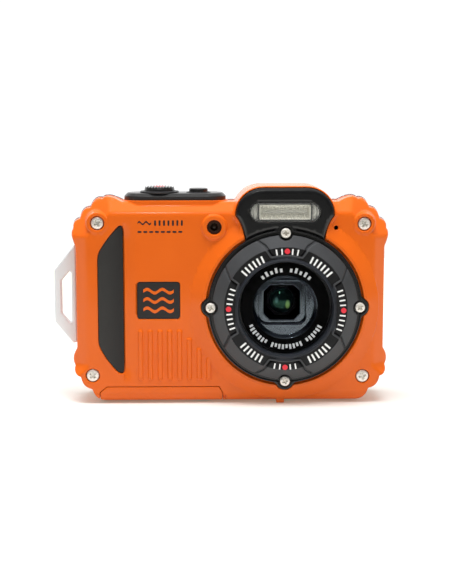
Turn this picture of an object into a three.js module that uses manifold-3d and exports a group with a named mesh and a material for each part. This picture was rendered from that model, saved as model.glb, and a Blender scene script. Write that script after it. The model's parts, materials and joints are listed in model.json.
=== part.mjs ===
// A rugged waterproof compact action camera, in millimetres, +Z up.
// The front looks along -Y and +X is to the right as seen from the front.
// The origin is under the middle of the whole object, on the surface that it stands on.
import * as THREE from "three";
import { mergeVertices } from "three/addons/utils/BufferGeometryUtils.js";
import Module from "manifold-3d";

const wasm = await Module();
wasm.setup();

// ---- Driving dimensions ----
const GAP = 0.3; // clearance between neighbouring pieces
const BODY_X = 3.35; // the casing's own centre line: the strap loop makes the whole wider on -X
const HALF_WIDTH = 51; // casing centre line to its flat side walls
const TOP_Z = 66.9;
const BOTTOM_Z = 0.5;
const FRONT_Y = -7; // main front face
const EDGE_Y = -3.5; // where the front chamfers meet the side walls
const TOP_CHAMFER_Z = 63.4; // where the 45 degree chamfer along the top meets the front face
const CORNER_CHAMFER = { from: 72.76, slope: 1.17 }; // starts this far out along each top corner's diagonal
const EDGE_R = 3.6; // rounding of the lower front edge
const PARTING_Y = 5.6; // middle of the seam between the two covers
const REAR_Y = 13.1; // back face of the rear cover
const GASKET_DEPTH = 0.6;
const WALL = 1.9;
const UPPER_CORNER_CUT = 11;
const LOWER_CORNER_CUT = 7.6;
const FRONT_INNER_Y = FRONT_Y + WALL;
const REAR_INNER_Y = REAR_Y - WALL;
const FRONT_SEAM_Y = PARTING_Y - GASKET_DEPTH / 2 - GAP;
const REAR_SEAM_Y = PARTING_Y + GASKET_DEPTH / 2 + GAP;
const AHEAD_Y = -20; // clear of the object in front
const BEHIND_Y = 20; // clear of the object behind

// Each casing corner is a run of rounded lobes: valley, peak, valley, peak ... as [offset from BODY_X, z].
const TOP_CORNER = [
  [35.7, 66.9], [39.9, 68.5], [42.3, 67.7], [44.6, 67.4], [46.3, 64.7], [48.6, 63.9],
  [49.7, 61.1], [51.65, 60.0], [51.9, 57.9], [52.37, 55.9], [HALF_WIDTH, 52],
];
const BOTTOM_CORNER = [
  [HALF_WIDTH, 18.2], [52.37, 15], [51.7, 12.4], [51.6, 10.4], [49.6, 9],
  [48.4, 6.2], [45.9, 4.9], [44.3, 2], [41.8, BOTTOM_Z],
];

const LENS = { x: 21.15, z: 32.6 };
const OPTIC = { x: LENS.x - 0.8, z: LENS.z + 1.35 }; // the optics sit a little off the bezel's axis
const BEZEL_R = 24;
const BEZEL_FRONT_Y = -13.6;
const BEZEL_BACK_Y = -9.8;
const GROOVES = [[90, 20], [270, 20], [0, 31], [180, 31]]; // degrees to a raised plate, and on to its ends
const BEZEL_SCREW_R = 24.45; // bezel axis to each bezel screw
const BASE_R = 25.3;
const WINDOW_R = 15;
const MASK_R = 10.7;
const BAFFLE_R = 14;
const EAR_R = 3;

const FLASH = { x: 21, z: 63.75, halfLength: 11.5, r: 3.1 };
const FLASH_ROOM = { halfWidth: 11, z0: 58, z1: 69.3 };
const FLASH_HALF_WIDTH = 16.1;
const FLASH_TOP_Z = 71.6;
const FLASH_CORNER_R = 9;
const HUMP_TOP_Z = 72.2;
const BASE_FACE_Y = -9.5;
const BASE_BACK_Y = -8.2;
const BASE_SEAT_Y = BASE_BACK_Y + GAP;
const BAFFLE_Y = [-8.7, -2.4];
const LIGHT_R = 4.6; // the round light path through the baffle and the lens housing
const LIGHT_OCTAGON = { halfWidth: 6.1, halfHeight: 5.75, corner: 2.1 };
const MODULE = { halfWidth: 9.5, z0: 8.2, z1: 43, y0: -2.1, y1: 8.4 }; // the folded zoom lens

const COVER_SCREWS = [[-40.2, 60.1], [47.15, 59.75], [47.2, 9], [-42.3, 9.55]];
const SCREW_HEAD_R = 2.05;
const SCREW_SHANK_R = 1;
const POST_R = 3.7;
const HEAD_SEAT_Y = -5.2;
const COVER_SCREW_END_Y = 11;

const PANEL = { x0: -31.7, x1: 1.9, y0: -4.8, y1: 8.9, top: 69.9, bottom: 65.6, cornerR: 6 };
const BUTTON_Y = 2.05;
const SHUTTER = {
  x: -20.05, y: BUTTON_Y, capR: 5, stemR: 2.3, collarR: 6.4, collarHeight: 0.7, top: 71.9, travel: 1,
};
const POWER = {
  x: -7.15, y: BUTTON_Y, capR: 3.1, stemR: 1.7, collarR: 4.1, collarHeight: 0.4, top: 71, travel: 0.6,
};
const CAP_DEPTH = 1.8;

const GRIP = [[-40.2, 50.2], [-33.4, 59.3], [-31.6, 58.8], [-31.6, 10.9], [-33.6, 10.3], [-40.2, 20.1]];
const GRIP_EDGES = { left: -40.2, right: -31.6, middleZ: 35 };
const GRIP_RECESS = 1.1;
const BADGE = { x: -20.35, z: 34.65, halfWidth: 7, halfHeight: 6.1, depth: 0.5 };
const RIBS = {
  x: -26.4,
  pitch: 3.22,
  width: 1.4,
  height: 0.4,
  bottom: 8.1,
  tops: [24.8, 24.8, 24.8, 24.8, 24.8, 22, 18.7, 15.7],
};
const LAMP = { x: -2.02, z: 58.75, r: 2.4, collarR: 4.05, collarHeight: 0.5 };
const MIC = { x: 37.85, z: 58.5, r: 0.85 };

// The door covers the battery, card and charging socket. It is hinged at its -X end.
const DOOR = { x0: -39.9, x1: 0.65, flapTop: 5.6, plateTop: 2.3, y1: 3.9 };
const DOOR_PIN = { x: -38.55, z: 1.45, r: 0.5, barrelR: 1.35 };
const DOOR_SEAL = { x0: -36.6, x1: -0.4, y0: -4.7, y1: 3.6, width: 0.8, top: 3.2 };
const BAY_FLOOR = { bottom: 3.5, top: 5 };
const BATTERY = { x0: -35.5, x1: -4.9, y0: -3.7, y1: 1.4, z0: 5.3, z1: 45.3 };
const CARD = { x0: -24, x1: -13, y0: 1.8, y1: 2.6, z0: 5.4, z1: 20.4 };
const SOCKET = { x0: -4.4, x1: -1.5, y0: -3.7, y1: 2.6, z0: 5.3, z1: 10.3 };

const TRIPOD = { x: 21.15, y: 0.5, socketR: 3.05, flangeR: 4.1, top: 7 };
const LOOP_Y = [2, 5];
const LOOP_OUTER = [
  [-55.6, 26.2], [-55.72, 35], [-55.6, 43.8], [-48.6, 52.3], [-47.95, 51.4], [-47.95, 19.2], [-49.6, 18.8],
];
const LOOP_HOLE = [[-53.25, 29], [-53.25, 40.2], [-50.4, 43.6], [-49.5, 42.9], [-49.5, 26], [-50.5, 25.7]];
const FOOT_X = [18.4, 21.3];
const SIDE_FEET = [{ x: -38.45, width: 2.5 }, { x: 42.6, width: 1.4 }];

const SCREEN = { x: 13, z: 33.5, halfWidth: 31, halfHeight: 24 };
const PAD = { x: -36.2, z: 31 };
const ROCKER = { halfWidth: 7, z0: 53.5, z1: 58.5 };
const KEY_FACE_Y = 13.6;
const KEY_STEM_Y = 10.75;
const KEY_HOLE_Y = [10, 15];
const KEYS = [
  { name: "record_button", x: -29.4, z: 44.5, r: 2.5, material: "red" },
  { name: "delete_button", x: -42, z: 44.5, r: 2.2, material: "key" },
  { name: "menu_button", x: -42, z: 17.5, r: 2.2, material: "key" },
  { name: "playback_button", x: -30.4, z: 17.5, r: 2.2, material: "key" },
  { name: "ok_button", x: PAD.x, z: PAD.z, r: 3, material: "key" },
];
const ARROWS = ["arrow_right", "arrow_up", "arrow_left", "arrow_down"];
const ARROW_R = 7.4; // pad centre to each arrow key

// ---- Materials ----
function finish(color, roughness, metalness = 0) {
  return new THREE.MeshStandardMaterial({ color, roughness, metalness });
}
const materials = {
  orange: finish(0xe6682a, 0.5),
  rubber: finish(0x35332f, 0.8),
  gasket: finish(0x55565a, 0.8),
  black: finish(0x1c1c1d, 0.4),
  ring: finish(0x48494a, 0.45),
  panel: finish(0x2c2b2a, 0.5),
  key: finish(0x39383a, 0.6),
  red: finish(0xc22230, 0.5),
  steel: finish(0xc8c4bc, 0.3, 1),
  loop: finish(0xd6d4d2, 0.4, 0.6),
  glass: finish(0x22282c, 0.05),
  clear: finish(0xcdd2cc, 0.1),
  reflector: finish(0xb9b8ae, 0.25, 1),
  screen: finish(0x101214, 0.1),
  board: finish(0x1f5b34, 0.6),
  battery: finish(0x2b2f3a, 0.5),
  brass: finish(0xb59a5b, 0.35, 1),
};

// ---- Shapes and solids ----

function manifoldOf(geometry) {
  const bare = geometry.clone();
  bare.deleteAttribute("normal");
  bare.deleteAttribute("uv");
  const merged = mergeVertices(bare, 1e-4);
  const vertProperties = merged.attributes.position.array;
  const triVerts = new Uint32Array(merged.index.array);
  const solid = new wasm.Manifold(new wasm.Mesh({ numProp: 3, vertProperties, triVerts }));
  if (solid.volume() > 0) return solid;
  for (let i = 0; i < triVerts.length; i += 3) {
    [triVerts[i + 1], triVerts[i + 2]] = [triVerts[i + 2], triVerts[i + 1]];
  }
  return new wasm.Manifold(new wasm.Mesh({ numProp: 3, vertProperties, triVerts }));
}

const join = (first, ...rest) => rest.reduce((sum, next) => sum.add(next), first);
const cut = (first, ...rest) => rest.reduce((sum, next) => sum.subtract(next), first);

// Extrudes a shape drawn in two of the object's axes along the third, from a to b.
const EXTRUDE_BASIS = {
  x: [[0, 1, 0], [0, 0, 1], [1, 0, 0]], // drawn in (y, z)
  y: [[1, 0, 0], [0, 0, 1], [0, -1, 0]], // drawn in (x, z)
  z: [[1, 0, 0], [0, 1, 0], [0, 0, 1]], // drawn in (x, y)
};
function prism(shape, axis, a, b, curveSegments = 4, bevel = 0) {
  const low = Math.min(a, b);
  const high = Math.max(a, b);
  const geometry = new THREE.ExtrudeGeometry(shape, {
    depth: high - low - 2 * bevel,
    curveSegments,
    bevelEnabled: bevel > 0,
    bevelSize: bevel,
    bevelThickness: bevel,
    bevelOffset: -bevel,
    bevelSegments: 2,
  });
  geometry.translate(0, 0, bevel);
  const basis = EXTRUDE_BASIS[axis].map((v) => new THREE.Vector3(...v));
  geometry.applyMatrix4(new THREE.Matrix4().makeBasis(...basis));
  const shift = basis[2].clone().multiplyScalar(axis === "y" ? -high : low);
  geometry.translate(shift.x, shift.y, shift.z);
  return manifoldOf(geometry);
}

function polygon(points) {
  return new THREE.Shape(points.map(([a, b]) => new THREE.Vector2(a, b)));
}

function roundedRect(a0, b0, a1, b1, r) {
  const shape = new THREE.Shape();
  shape.moveTo(a0 + r, b0);
  shape.lineTo(a1 - r, b0);
  shape.absarc(a1 - r, b0 + r, r, -Math.PI / 2, 0);
  shape.lineTo(a1, b1 - r);
  shape.absarc(a1 - r, b1 - r, r, 0, Math.PI / 2);
  shape.lineTo(a0 + r, b1);
  shape.absarc(a0 + r, b1 - r, r, Math.PI / 2, Math.PI);
  shape.lineTo(a0, b0 + r);
  shape.absarc(a0 + r, b0 + r, r, Math.PI, 1.5 * Math.PI);
  return shape;
}

function box(x0, x1, y0, y1, z0, z1) {
  const geometry = new THREE.BoxGeometry(x1 - x0, y1 - y0, z1 - z0);
  return manifoldOf(geometry.translate((x0 + x1) / 2, (y0 + y1) / 2, (z0 + z1) / 2));
}

// A cylinder along Y, from y0 up to y1, where its radius may change to farR.
function discY(x, z, r, y0, y1, segments = 16, farR = r) {
  const geometry = new THREE.CylinderGeometry(farR, r, y1 - y0, segments);
  return manifoldOf(geometry.translate(x, (y0 + y1) / 2, z));
}

// A cylinder along Z, from z0 to z1.
function discZ(x, y, r, z0, z1, segments = 24, topR = r) {
  const geometry = new THREE.CylinderGeometry(topR, r, z1 - z0, segments).rotateX(Math.PI / 2);
  return manifoldOf(geometry.translate(x, y, (z0 + z1) / 2));
}

// Turns a profile of [radius, y] points about the Y axis through (x, z).
function turnedY(x, z, profile, segments = 40) {
  const points = [...profile, profile[0]].map(([r, y]) => new THREE.Vector2(r, y));
  return manifoldOf(new THREE.LatheGeometry(points, segments).translate(x, 0, z));
}

function ringY(x, z, innerR, outerR, y0, y1, segments = 32) {
  return turnedY(x, z, [[innerR, y0], [outerR, y0], [outerR, y1], [innerR, y1]], segments);
}

const camera = new THREE.Group();
function add(name, solid, material, parent = camera) {
  const { vertProperties, triVerts, numProp } = solid.getMesh();
  const geometry = new THREE.BufferGeometry();
  const position = new Float32Array((vertProperties.length / numProp) * 3);
  for (let i = 0; i < position.length / 3; i++) {
    position.set(vertProperties.subarray(i * numProp, i * numProp + 3), i * 3);
  }
  geometry.setAttribute("position", new THREE.BufferAttribute(position, 3));
  geometry.setIndex(new THREE.BufferAttribute(new Uint32Array(triVerts), 1));
  geometry.computeVertexNormals();
  const mesh = new THREE.Mesh(geometry, materials[material]);
  mesh.name = name;
  parent.add(mesh);
}

// ---- Casing outline ----

// Each lobe is one curve from valley to valley that passes through its peak.
function addLobes(shape, side, corner) {
  for (let i = 1; i < corner.length; i += 2) {
    const [[u0, z0], [u, z], [u1, z1]] = corner.slice(i - 1, i + 2);
    const control = [2 * u - (u0 + u1) / 2, 2 * z - (z0 + z1) / 2];
    shape.quadraticCurveTo(BODY_X + side * control[0], control[1], BODY_X + side * u1, z1);
  }
}

function casingOutline() {
  const shape = new THREE.Shape();
  const go = (side, [u, z]) => shape.lineTo(BODY_X + side * u, z);
  shape.moveTo(BODY_X + TOP_CORNER[0][0], TOP_CORNER[0][1]);
  addLobes(shape, 1, TOP_CORNER);
  go(1, BOTTOM_CORNER[0]);
  addLobes(shape, 1, BOTTOM_CORNER);
  go(-1, BOTTOM_CORNER.at(-1));
  addLobes(shape, -1, [...BOTTOM_CORNER].reverse());
  go(-1, TOP_CORNER.at(-1));
  addLobes(shape, -1, [...TOP_CORNER].reverse());
  return shape;
}

// The inside of a cover: a box with its corners cut off, so that a wall is left behind the lobes.
function roomOutline(wall) {
  const half = HALF_WIDTH - wall;
  const top = TOP_Z - wall;
  const bottom = BOTTOM_Z + wall;
  const corner = [
    [half, bottom + LOWER_CORNER_CUT], [half, top - UPPER_CORNER_CUT], [half - UPPER_CORNER_CUT, top],
    [UPPER_CORNER_CUT - half, top], [-half, top - UPPER_CORNER_CUT], [-half, bottom + LOWER_CORNER_CUT],
    [LOWER_CORNER_CUT - half, bottom], [half - LOWER_CORNER_CUT, bottom],
  ];
  return polygon(corner.map(([u, z]) => [BODY_X + u, z]));
}

// The flash housing's outline, grown or shrunk by an offset, and open at the bottom onto the lens.
function flashOutline(grow, bottomZ) {
  const half = FLASH_HALF_WIDTH + grow;
  const top = FLASH_TOP_Z + grow;
  const r = FLASH_CORNER_R + grow;
  const neck = half - 3.4;
  const shape = new THREE.Shape();
  shape.moveTo(FLASH.x - neck, bottomZ);
  shape.lineTo(FLASH.x + neck, bottomZ);
  shape.quadraticCurveTo(FLASH.x + neck, 59, FLASH.x + half, top - r);
  shape.absarc(FLASH.x + half - r, top - r, r, 0, Math.PI / 2);
  shape.lineTo(FLASH.x - half + r, top);
  shape.absarc(FLASH.x - half + r, top - r, r, Math.PI / 2, Math.PI);
  shape.quadraticCurveTo(FLASH.x - neck, 59, FLASH.x - neck, bottomZ);
  return shape;
}

function flashStadium(grow) {
  const r = FLASH.r + grow;
  const half = FLASH.halfLength + grow;
  return roundedRect(FLASH.x - half, FLASH.z - r, FLASH.x + half, FLASH.z + r, r - 0.01);
}

const bezelScrewAt = (i) => [
  LENS.x + BEZEL_SCREW_R * Math.cos((i * Math.PI) / 2),
  LENS.z + BEZEL_SCREW_R * Math.sin((i * Math.PI) / 2),
];
const bezelScrews = [0, 1, 2, 3].map(bezelScrewAt);

// ---- Covers ----

// The chamfers round the front face: along the top, down each side and across each top corner.
function frontChamfers() {
  const ahead = 5;
  const behind = 7.5;
  const topEdge = [
    [FRONT_Y + behind, TOP_CHAMFER_Z + behind],
    [FRONT_Y - ahead, TOP_CHAMFER_Z + behind],
    [FRONT_Y - ahead, TOP_CHAMFER_Z - ahead],
  ];
  const pieces = [prism(polygon(topEdge), "x", BODY_X - 60, BODY_X + 60)];
  const { from, slope } = CORNER_CHAMFER;
  const far = from + behind / slope;
  const wedge = [[far, FRONT_Y + behind], [far, FRONT_Y - ahead], [from - ahead / slope, FRONT_Y - ahead]];
  for (const side of [-1, 1]) {
    const across = [[51.4, EDGE_Y], [60, EDGE_Y + 7], [60, FRONT_Y - ahead], [41, FRONT_Y - ahead]];
    const wall = prism(polygon(across.map(([u, y]) => [BODY_X + side * u, y])), "z", 17, 70);
    // The wedge is drawn flat, then turned to face out and up.
    const turned = prism(polygon(wedge), "z", -24, 24).rotate([0, -45, 0]);
    const placed = side > 0 ? turned : turned.mirror([1, 0, 0]);
    pieces.push(wall, placed.translate([BODY_X, 0, 0]));
  }
  return pieces;
}

// Rounds the casing's lower front edge.
function lowerEdgeCut() {
  const r = EDGE_R;
  const shape = new THREE.Shape();
  shape.moveTo(FRONT_Y - 1, BOTTOM_Z - 1);
  shape.lineTo(FRONT_Y + r, BOTTOM_Z - 1);
  shape.lineTo(FRONT_Y + r, BOTTOM_Z);
  shape.absarc(FRONT_Y + r, BOTTOM_Z + r, r, -Math.PI / 2, -Math.PI, true);
  shape.lineTo(FRONT_Y - 1, BOTTOM_Z + r);
  return prism(shape, "x", BODY_X - 60, BODY_X + 60);
}

// The door is an L seen from the side: a flap on the front face and a plate under the bay.
function doorProfile(grow) {
  const flapBack = FRONT_INNER_Y - 0.2 + grow;
  const flapTop = DOOR.flapTop + grow;
  const plateTop = DOOR.plateTop + grow;
  const back = DOOR.y1 + grow;
  return polygon([
    [FRONT_Y - 2, BOTTOM_Z - 2], [FRONT_Y - 2, flapTop], [flapBack, flapTop],
    [flapBack, plateTop], [back, plateTop], [back, BOTTOM_Z - 2],
  ]);
}

// The door's own outline as seen from the front, with its two cut corners.
function doorOutline(grow) {
  const { x0, x1, flapTop } = DOOR;
  return polygon([
    [x0 - grow, -2], [x0 - grow, 3.8], [x0 + 2.2, flapTop + grow], [x1 - 1.1, flapTop + grow],
    [x1 + grow, 3.6], [x1 + grow, -2],
  ]);
}

function doorBarrel(r, y0, y1, segments = 16) {
  return discY(DOOR_PIN.x, DOOR_PIN.z, r, y0, y1, segments);
}

function doorBlock(grow) {
  const block = prism(doorProfile(grow), "x", DOOR.x0 - grow, DOOR.x1 + grow);
  return block.intersect(prism(doorOutline(grow), "y", AHEAD_Y, BEHIND_Y));
}

function topPanelCut() {
  const { x0, x1, y0, y1, bottom, cornerR } = PANEL;
  const plan = roundedRect(x0 - GAP, y0 - GAP, x1 + GAP, y1 + GAP, cornerR + GAP);
  return prism(plan, "z", bottom - GAP, 75);
}

function frontCover() {
  const outer = cut(
    prism(casingOutline(), "y", FRONT_SEAM_Y, FRONT_Y, 3),
    ...frontChamfers(),
    lowerEdgeCut(),
  );
  const posts = COVER_SCREWS.map(([x, z]) => discY(x, z, POST_R, FRONT_Y, FRONT_SEAM_Y));
  const collar = turnedY(LENS.x, LENS.z, [[0, -4], [29.6, -4], [29.6, FRONT_Y], [26.4, -9.2], [0, -9.2]]);
  const hump = prism(flashOutline(0.6, 52), "y", FRONT_SEAM_Y, -8.9);
  const lampCollar = discY(LAMP.x, LAMP.z, LAMP.collarR, FRONT_Y - LAMP.collarHeight, -5.5, 20);
  const ribs = RIBS.tops.map((top, i) => {
    const x = RIBS.x + i * RIBS.pitch;
    const half = RIBS.width / 2;
    const outline = roundedRect(x - half, RIBS.bottom, x + half, top, half - 0.01);
    return prism(outline, "y", FRONT_Y + 1, FRONT_Y - RIBS.height, 2);
  });
  const foot = box(...FOOT_X, FRONT_Y - 0.3, -4.2, 0, 3.7);
  const sideFoot = box(SIDE_FEET[1].x - 0.7, SIDE_FEET[1].x + 0.7, -2, FRONT_SEAM_Y, 0, 2);
  const skin = join(outer, collar, hump, lampCollar, ...ribs, foot, sideFoot);

  // The battery bay's floor and a bar along the front stay solid under the room.
  const room = cut(
    prism(roomOutline(WALL), "y", FRONT_INNER_Y, BEHIND_Y),
    box(-60, DOOR.x1 + 2.2, AHEAD_Y, BEHIND_Y, -1, BAY_FLOOR.top),
    box(-60, 60, AHEAD_Y, FRONT_INNER_Y + 1.8, -1, BAY_FLOOR.top),
  );
  const roundPosts = COVER_SCREWS.map(([x, z]) => discY(x, z, POST_R, AHEAD_Y, BEHIND_Y));
  const hollow = cut(skin, cut(join(room, flashRoom(FRONT_Y)), ...roundPosts));
  const lensMouth = [
    [0, AHEAD_Y], [BASE_R + GAP, AHEAD_Y], [BASE_R + GAP, BASE_SEAT_Y],
    [BAFFLE_R + 1, BASE_SEAT_Y], [BAFFLE_R + 1, 0], [0, 0],
  ];
  const lensHole = join(
    turnedY(LENS.x, LENS.z, lensMouth),
    ...bezelScrews.map(([x, z]) => discY(x, z, EAR_R + GAP, AHEAD_Y, BASE_SEAT_Y, 16)),
    ...bezelScrews.map(([x, z]) => discY(x, z, SCREW_SHANK_R + GAP, -9, -5.6, 10)),
  );
  const screwHoles = COVER_SCREWS.flatMap(([x, z]) => [
    discY(x, z, SCREW_HEAD_R + GAP, AHEAD_Y, HEAD_SEAT_Y, 16),
    discY(x, z, SCREW_SHANK_R + GAP, HEAD_SEAT_Y - 1, BEHIND_Y, 8),
  ]);
  return cut(
    join(hollow, ...posts),
    lensHole,
    ...screwHoles,
    prism(flashOutline(GAP, 52), "y", AHEAD_Y, BASE_SEAT_Y),
    prism(flashStadium(GAP), "y", AHEAD_Y, 0),
    prism(polygon(GRIP), "y", AHEAD_Y, FRONT_Y + GRIP_RECESS),
    prism(badgeOutline(GAP), "y", AHEAD_Y, FRONT_Y + BADGE.depth + GAP),
    discY(LAMP.x, LAMP.z, LAMP.r, AHEAD_Y, 0),
    discY(MIC.x, MIC.z, MIC.r, AHEAD_Y, 0, 8),
    topPanelCut(),
    ...[SHUTTER, POWER].map((b) => discZ(b.x, b.y, b.stemR + 0.7, 60, 70, 12)),
    ...bayCuts(),
    discZ(TRIPOD.x, TRIPOD.y, TRIPOD.flangeR + GAP, -1, TRIPOD.top + 2, 20),
    loopSlot(),
  );
}

// The door's seat in the casing, its hinge, a finger notch beside it, and the ways into the bay.
function bayCuts() {
  const { x0, x1, y0, y1 } = DOOR_SEAL;
  const notch = { width: 1.2, top: 2.6 };
  const sealSeat = box(x0 - GAP, x1 + GAP, y0 - GAP, y1 + GAP, 0, BAY_FLOOR.bottom);
  const ways = [BATTERY, CARD, SOCKET].map((b) =>
    box(b.x0 - 0.25, b.x1 + 0.25, b.y0 - 0.2, b.y1 + 0.2, 0, BAY_FLOOR.top + 2));
  return [
    doorBlock(GAP),
    doorBarrel(DOOR_PIN.barrelR + GAP, AHEAD_Y, DOOR.y1 + GAP),
    doorBarrel(DOOR_PIN.r + GAP, -5, 9, 8),
    box(DOOR.x1, DOOR.x1 + notch.width, AHEAD_Y, FRONT_INNER_Y - GAP, -1, notch.top),
    sealSeat,
    ...ways,
  ];
}

// The hollow behind the flash, in the hump over the lens.
function flashRoom(y0, y1 = BEHIND_Y) {
  const { halfWidth, z0, z1 } = FLASH_ROOM;
  return box(FLASH.x - halfWidth, FLASH.x + halfWidth, y0, y1, z0, z1);
}

const badgeOutline = (grow) =>
  roundedRect(
    BADGE.x - BADGE.halfWidth - grow, BADGE.z - BADGE.halfHeight - grow,
    BADGE.x + BADGE.halfWidth + grow, BADGE.z + BADGE.halfHeight + grow, 0.9,
  );

const loopSlot = () => box(-48.5, -44, LOOP_Y[0] + 0.1, LOOP_Y[1] - 0.1, 29.7, 40.3);

// The slope that takes off a cover's rear edge: from y0 on the outer face at z, inwards towards the back.
function rearEdge(y0, z, inwards) {
  const run = 14 - y0;
  const out = z - inwards * 13;
  return polygon([[y0, out], [y0, z], [14, z + inwards * run], [14, out]]);
}

function rearCover() {
  const sides = [-1, 1].map((side) =>
    [[51.2, 11], [60, 2.2], [60, 14], [48.2, 14]].map(([u, y]) => [BODY_X + side * u, y]));
  const outer = cut(
    prism(casingOutline(), "y", REAR_SEAM_Y, REAR_Y, 3),
    ...sides.map((across) => prism(polygon(across), "z", -5, 80)),
    prism(rearEdge(11.2, TOP_Z, -1), "x", BODY_X - 60, FLASH.x - 17),
    prism(rearEdge(11.2, TOP_Z, -1), "x", FLASH.x + 17, BODY_X + 60),
    prism(rearEdge(10.2, BOTTOM_Z, 1), "x", BODY_X - 60, BODY_X + 60),
  );
  const hump = cut(
    prism(flashOutline(0.6, 55), "y", REAR_SEAM_Y, REAR_Y),
    prism(rearEdge(11.6, HUMP_TOP_Z, -1), "x", 0, 45),
  );
  const feet = SIDE_FEET.map(({ x, width }) => box(x - width / 2, x + width / 2, REAR_SEAM_Y, 11, 0, 1.5));
  const room = prism(roomOutline(WALL), "y", 0, REAR_INNER_Y);
  const humpRoom = flashRoom(0, REAR_INNER_Y);
  const pins = COVER_SCREWS.map(([x, z]) => discY(x, z, POST_R, REAR_SEAM_Y, REAR_Y - 0.6));
  const { x, z, halfWidth, halfHeight } = SCREEN;
  const w = halfWidth + GAP;
  const h = halfHeight + GAP;
  const windowSeat = roundedRect(x - w, z - h, x + w, z + h, 2.5);
  const view = box(x - halfWidth + 3, x + halfWidth - 3, 10, 14, z - halfHeight + 2.8, z + halfHeight - 2.8);
  const shell = cut(join(outer, hump, ...feet), join(room, humpRoom));
  return cut(
    join(shell, ...pins.map((pin) => pin.intersect(outer))),
    prism(windowSeat, "y", REAR_Y - 1.1, BEHIND_Y),
    view,
    ...KEYS.map((key) => discY(key.x, key.z, key.r + GAP, ...KEY_HOLE_Y)),
    ...ARROWS.map((_, i) => arrowKey(i, GAP, ...KEY_HOLE_Y)),
    prism(rockerOutline(GAP + 0.1), "y", ...KEY_HOLE_Y),
    ...COVER_SCREWS.map(([sx, sz]) => discY(sx, sz, SCREW_SHANK_R + GAP, 0, COVER_SCREW_END_Y + 0.4, 8)),
    topPanelCut(),
    box(-5.5, -3.1, REAR_Y - 0.7, BEHIND_Y, 4.5, 5.1),
  );
}

// A thin frame between the covers, which shows as a dark line round the casing.
function coverGasket() {
  const y0 = PARTING_Y - GASKET_DEPTH / 2;
  const y1 = PARTING_Y + GASKET_DEPTH / 2;
  const outline = join(prism(casingOutline(), "y", y0, y1, 3), prism(flashOutline(0.6, 55), "y", y0, y1));
  const posts = COVER_SCREWS.map(([x, z]) => discY(x, z, POST_R, 0, BEHIND_Y, 16));
  return cut(
    outline,
    cut(prism(roomOutline(WALL), "y", 0, BEHIND_Y), ...posts),
    ...COVER_SCREWS.map(([x, z]) => discY(x, z, SCREW_SHANK_R + GAP, 0, BEHIND_Y, 8)),
    flashRoom(0),
    topPanelCut(),
  );
}

add("front_cover", frontCover(), "orange");
add("rear_cover", rearCover(), "orange");
add("cover_gasket", coverGasket(), "gasket");

// ---- Front trim ----

// The grip pad stands a little proud along its left edge and sinks towards its right edge.
function frontGrip() {
  const { left, right, middleZ } = GRIP_EDGES;
  const insetX = (x) => (x === left ? x + GAP : x === right ? x - GAP : x);
  const insetZ = (z) => z - Math.sign(z - middleZ) * 0.35;
  const inset = GRIP.map(([x, z]) => [insetX(x), insetZ(z)]);
  const back = FRONT_Y + GRIP_RECESS - GAP;
  const face = polygon([[-42, -7.5], [-38.5, -7.5], [-35, -7.2], [-31, -6.4], [-31, back], [-42, back]]);
  return prism(polygon(inset), "y", FRONT_Y - 1, back).intersect(prism(face, "z", 5, 65));
}

add("front_grip", frontGrip(), "rubber");
const badgePlate = prism(badgeOutline(0), "y", FRONT_Y - 0.05, FRONT_Y + BADGE.depth);
add("front_badge", badgePlate, "black");
add(
  "focus_lamp_lens",
  turnedY(LAMP.x, LAMP.z, [[0, -5.2], [1.2, -5.2], [2.1, -4.8], [2.1, -3.6], [0, -3.6]], 20),
  "glass",
);

// A screw: a head from headY on with a driver socket, and a shank to endY.
function screw(x, z, headR, headY, headDepth, endY) {
  const socketR = 0.4 * headR;
  const head = discY(x, z, headR - 0.35, headY, headY + headDepth, 16, headR);
  const shank = discY(x, z, SCREW_SHANK_R, headY + headDepth - 0.3, endY, 8);
  return cut(join(head, shank), discY(x, z, socketR, AHEAD_Y, headY + 0.75, 6));
}
COVER_SCREWS.forEach(([x, z], i) => {
  add("cover_screw_" + (i + 1), screw(x, z, SCREW_HEAD_R, -6.9, 1.4, COVER_SCREW_END_Y), "steel");
});

// ---- Lens bezel and flash housing ----

// One moulded plate carries the ring round the lens and the housing over the flash.
function basePlate() {
  const ring = discY(LENS.x, LENS.z, BASE_R, BASE_FACE_Y, BASE_BACK_Y, 48);
  const ears = bezelScrews.map(([x, z]) => discY(x, z, EAR_R, BASE_BACK_Y, BASE_FACE_Y, 16));
  const housing = prism(flashOutline(0, 52), "y", BASE_BACK_Y, BASE_FACE_Y);
  return cut(
    join(ring, ...ears, housing),
    discY(LENS.x, LENS.z, BAFFLE_R + GAP, AHEAD_Y, 0, 36),
    discY(LENS.x, LENS.z, WINDOW_R + GAP, AHEAD_Y, BAFFLE_Y[0] - 0.05, 36),
    prism(flashStadium(GAP), "y", AHEAD_Y, 0),
    ...bezelScrews.map(([x, z]) => discY(x, z, SCREW_SHANK_R + GAP, AHEAD_Y, 0, 12)),
  );
}

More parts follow.
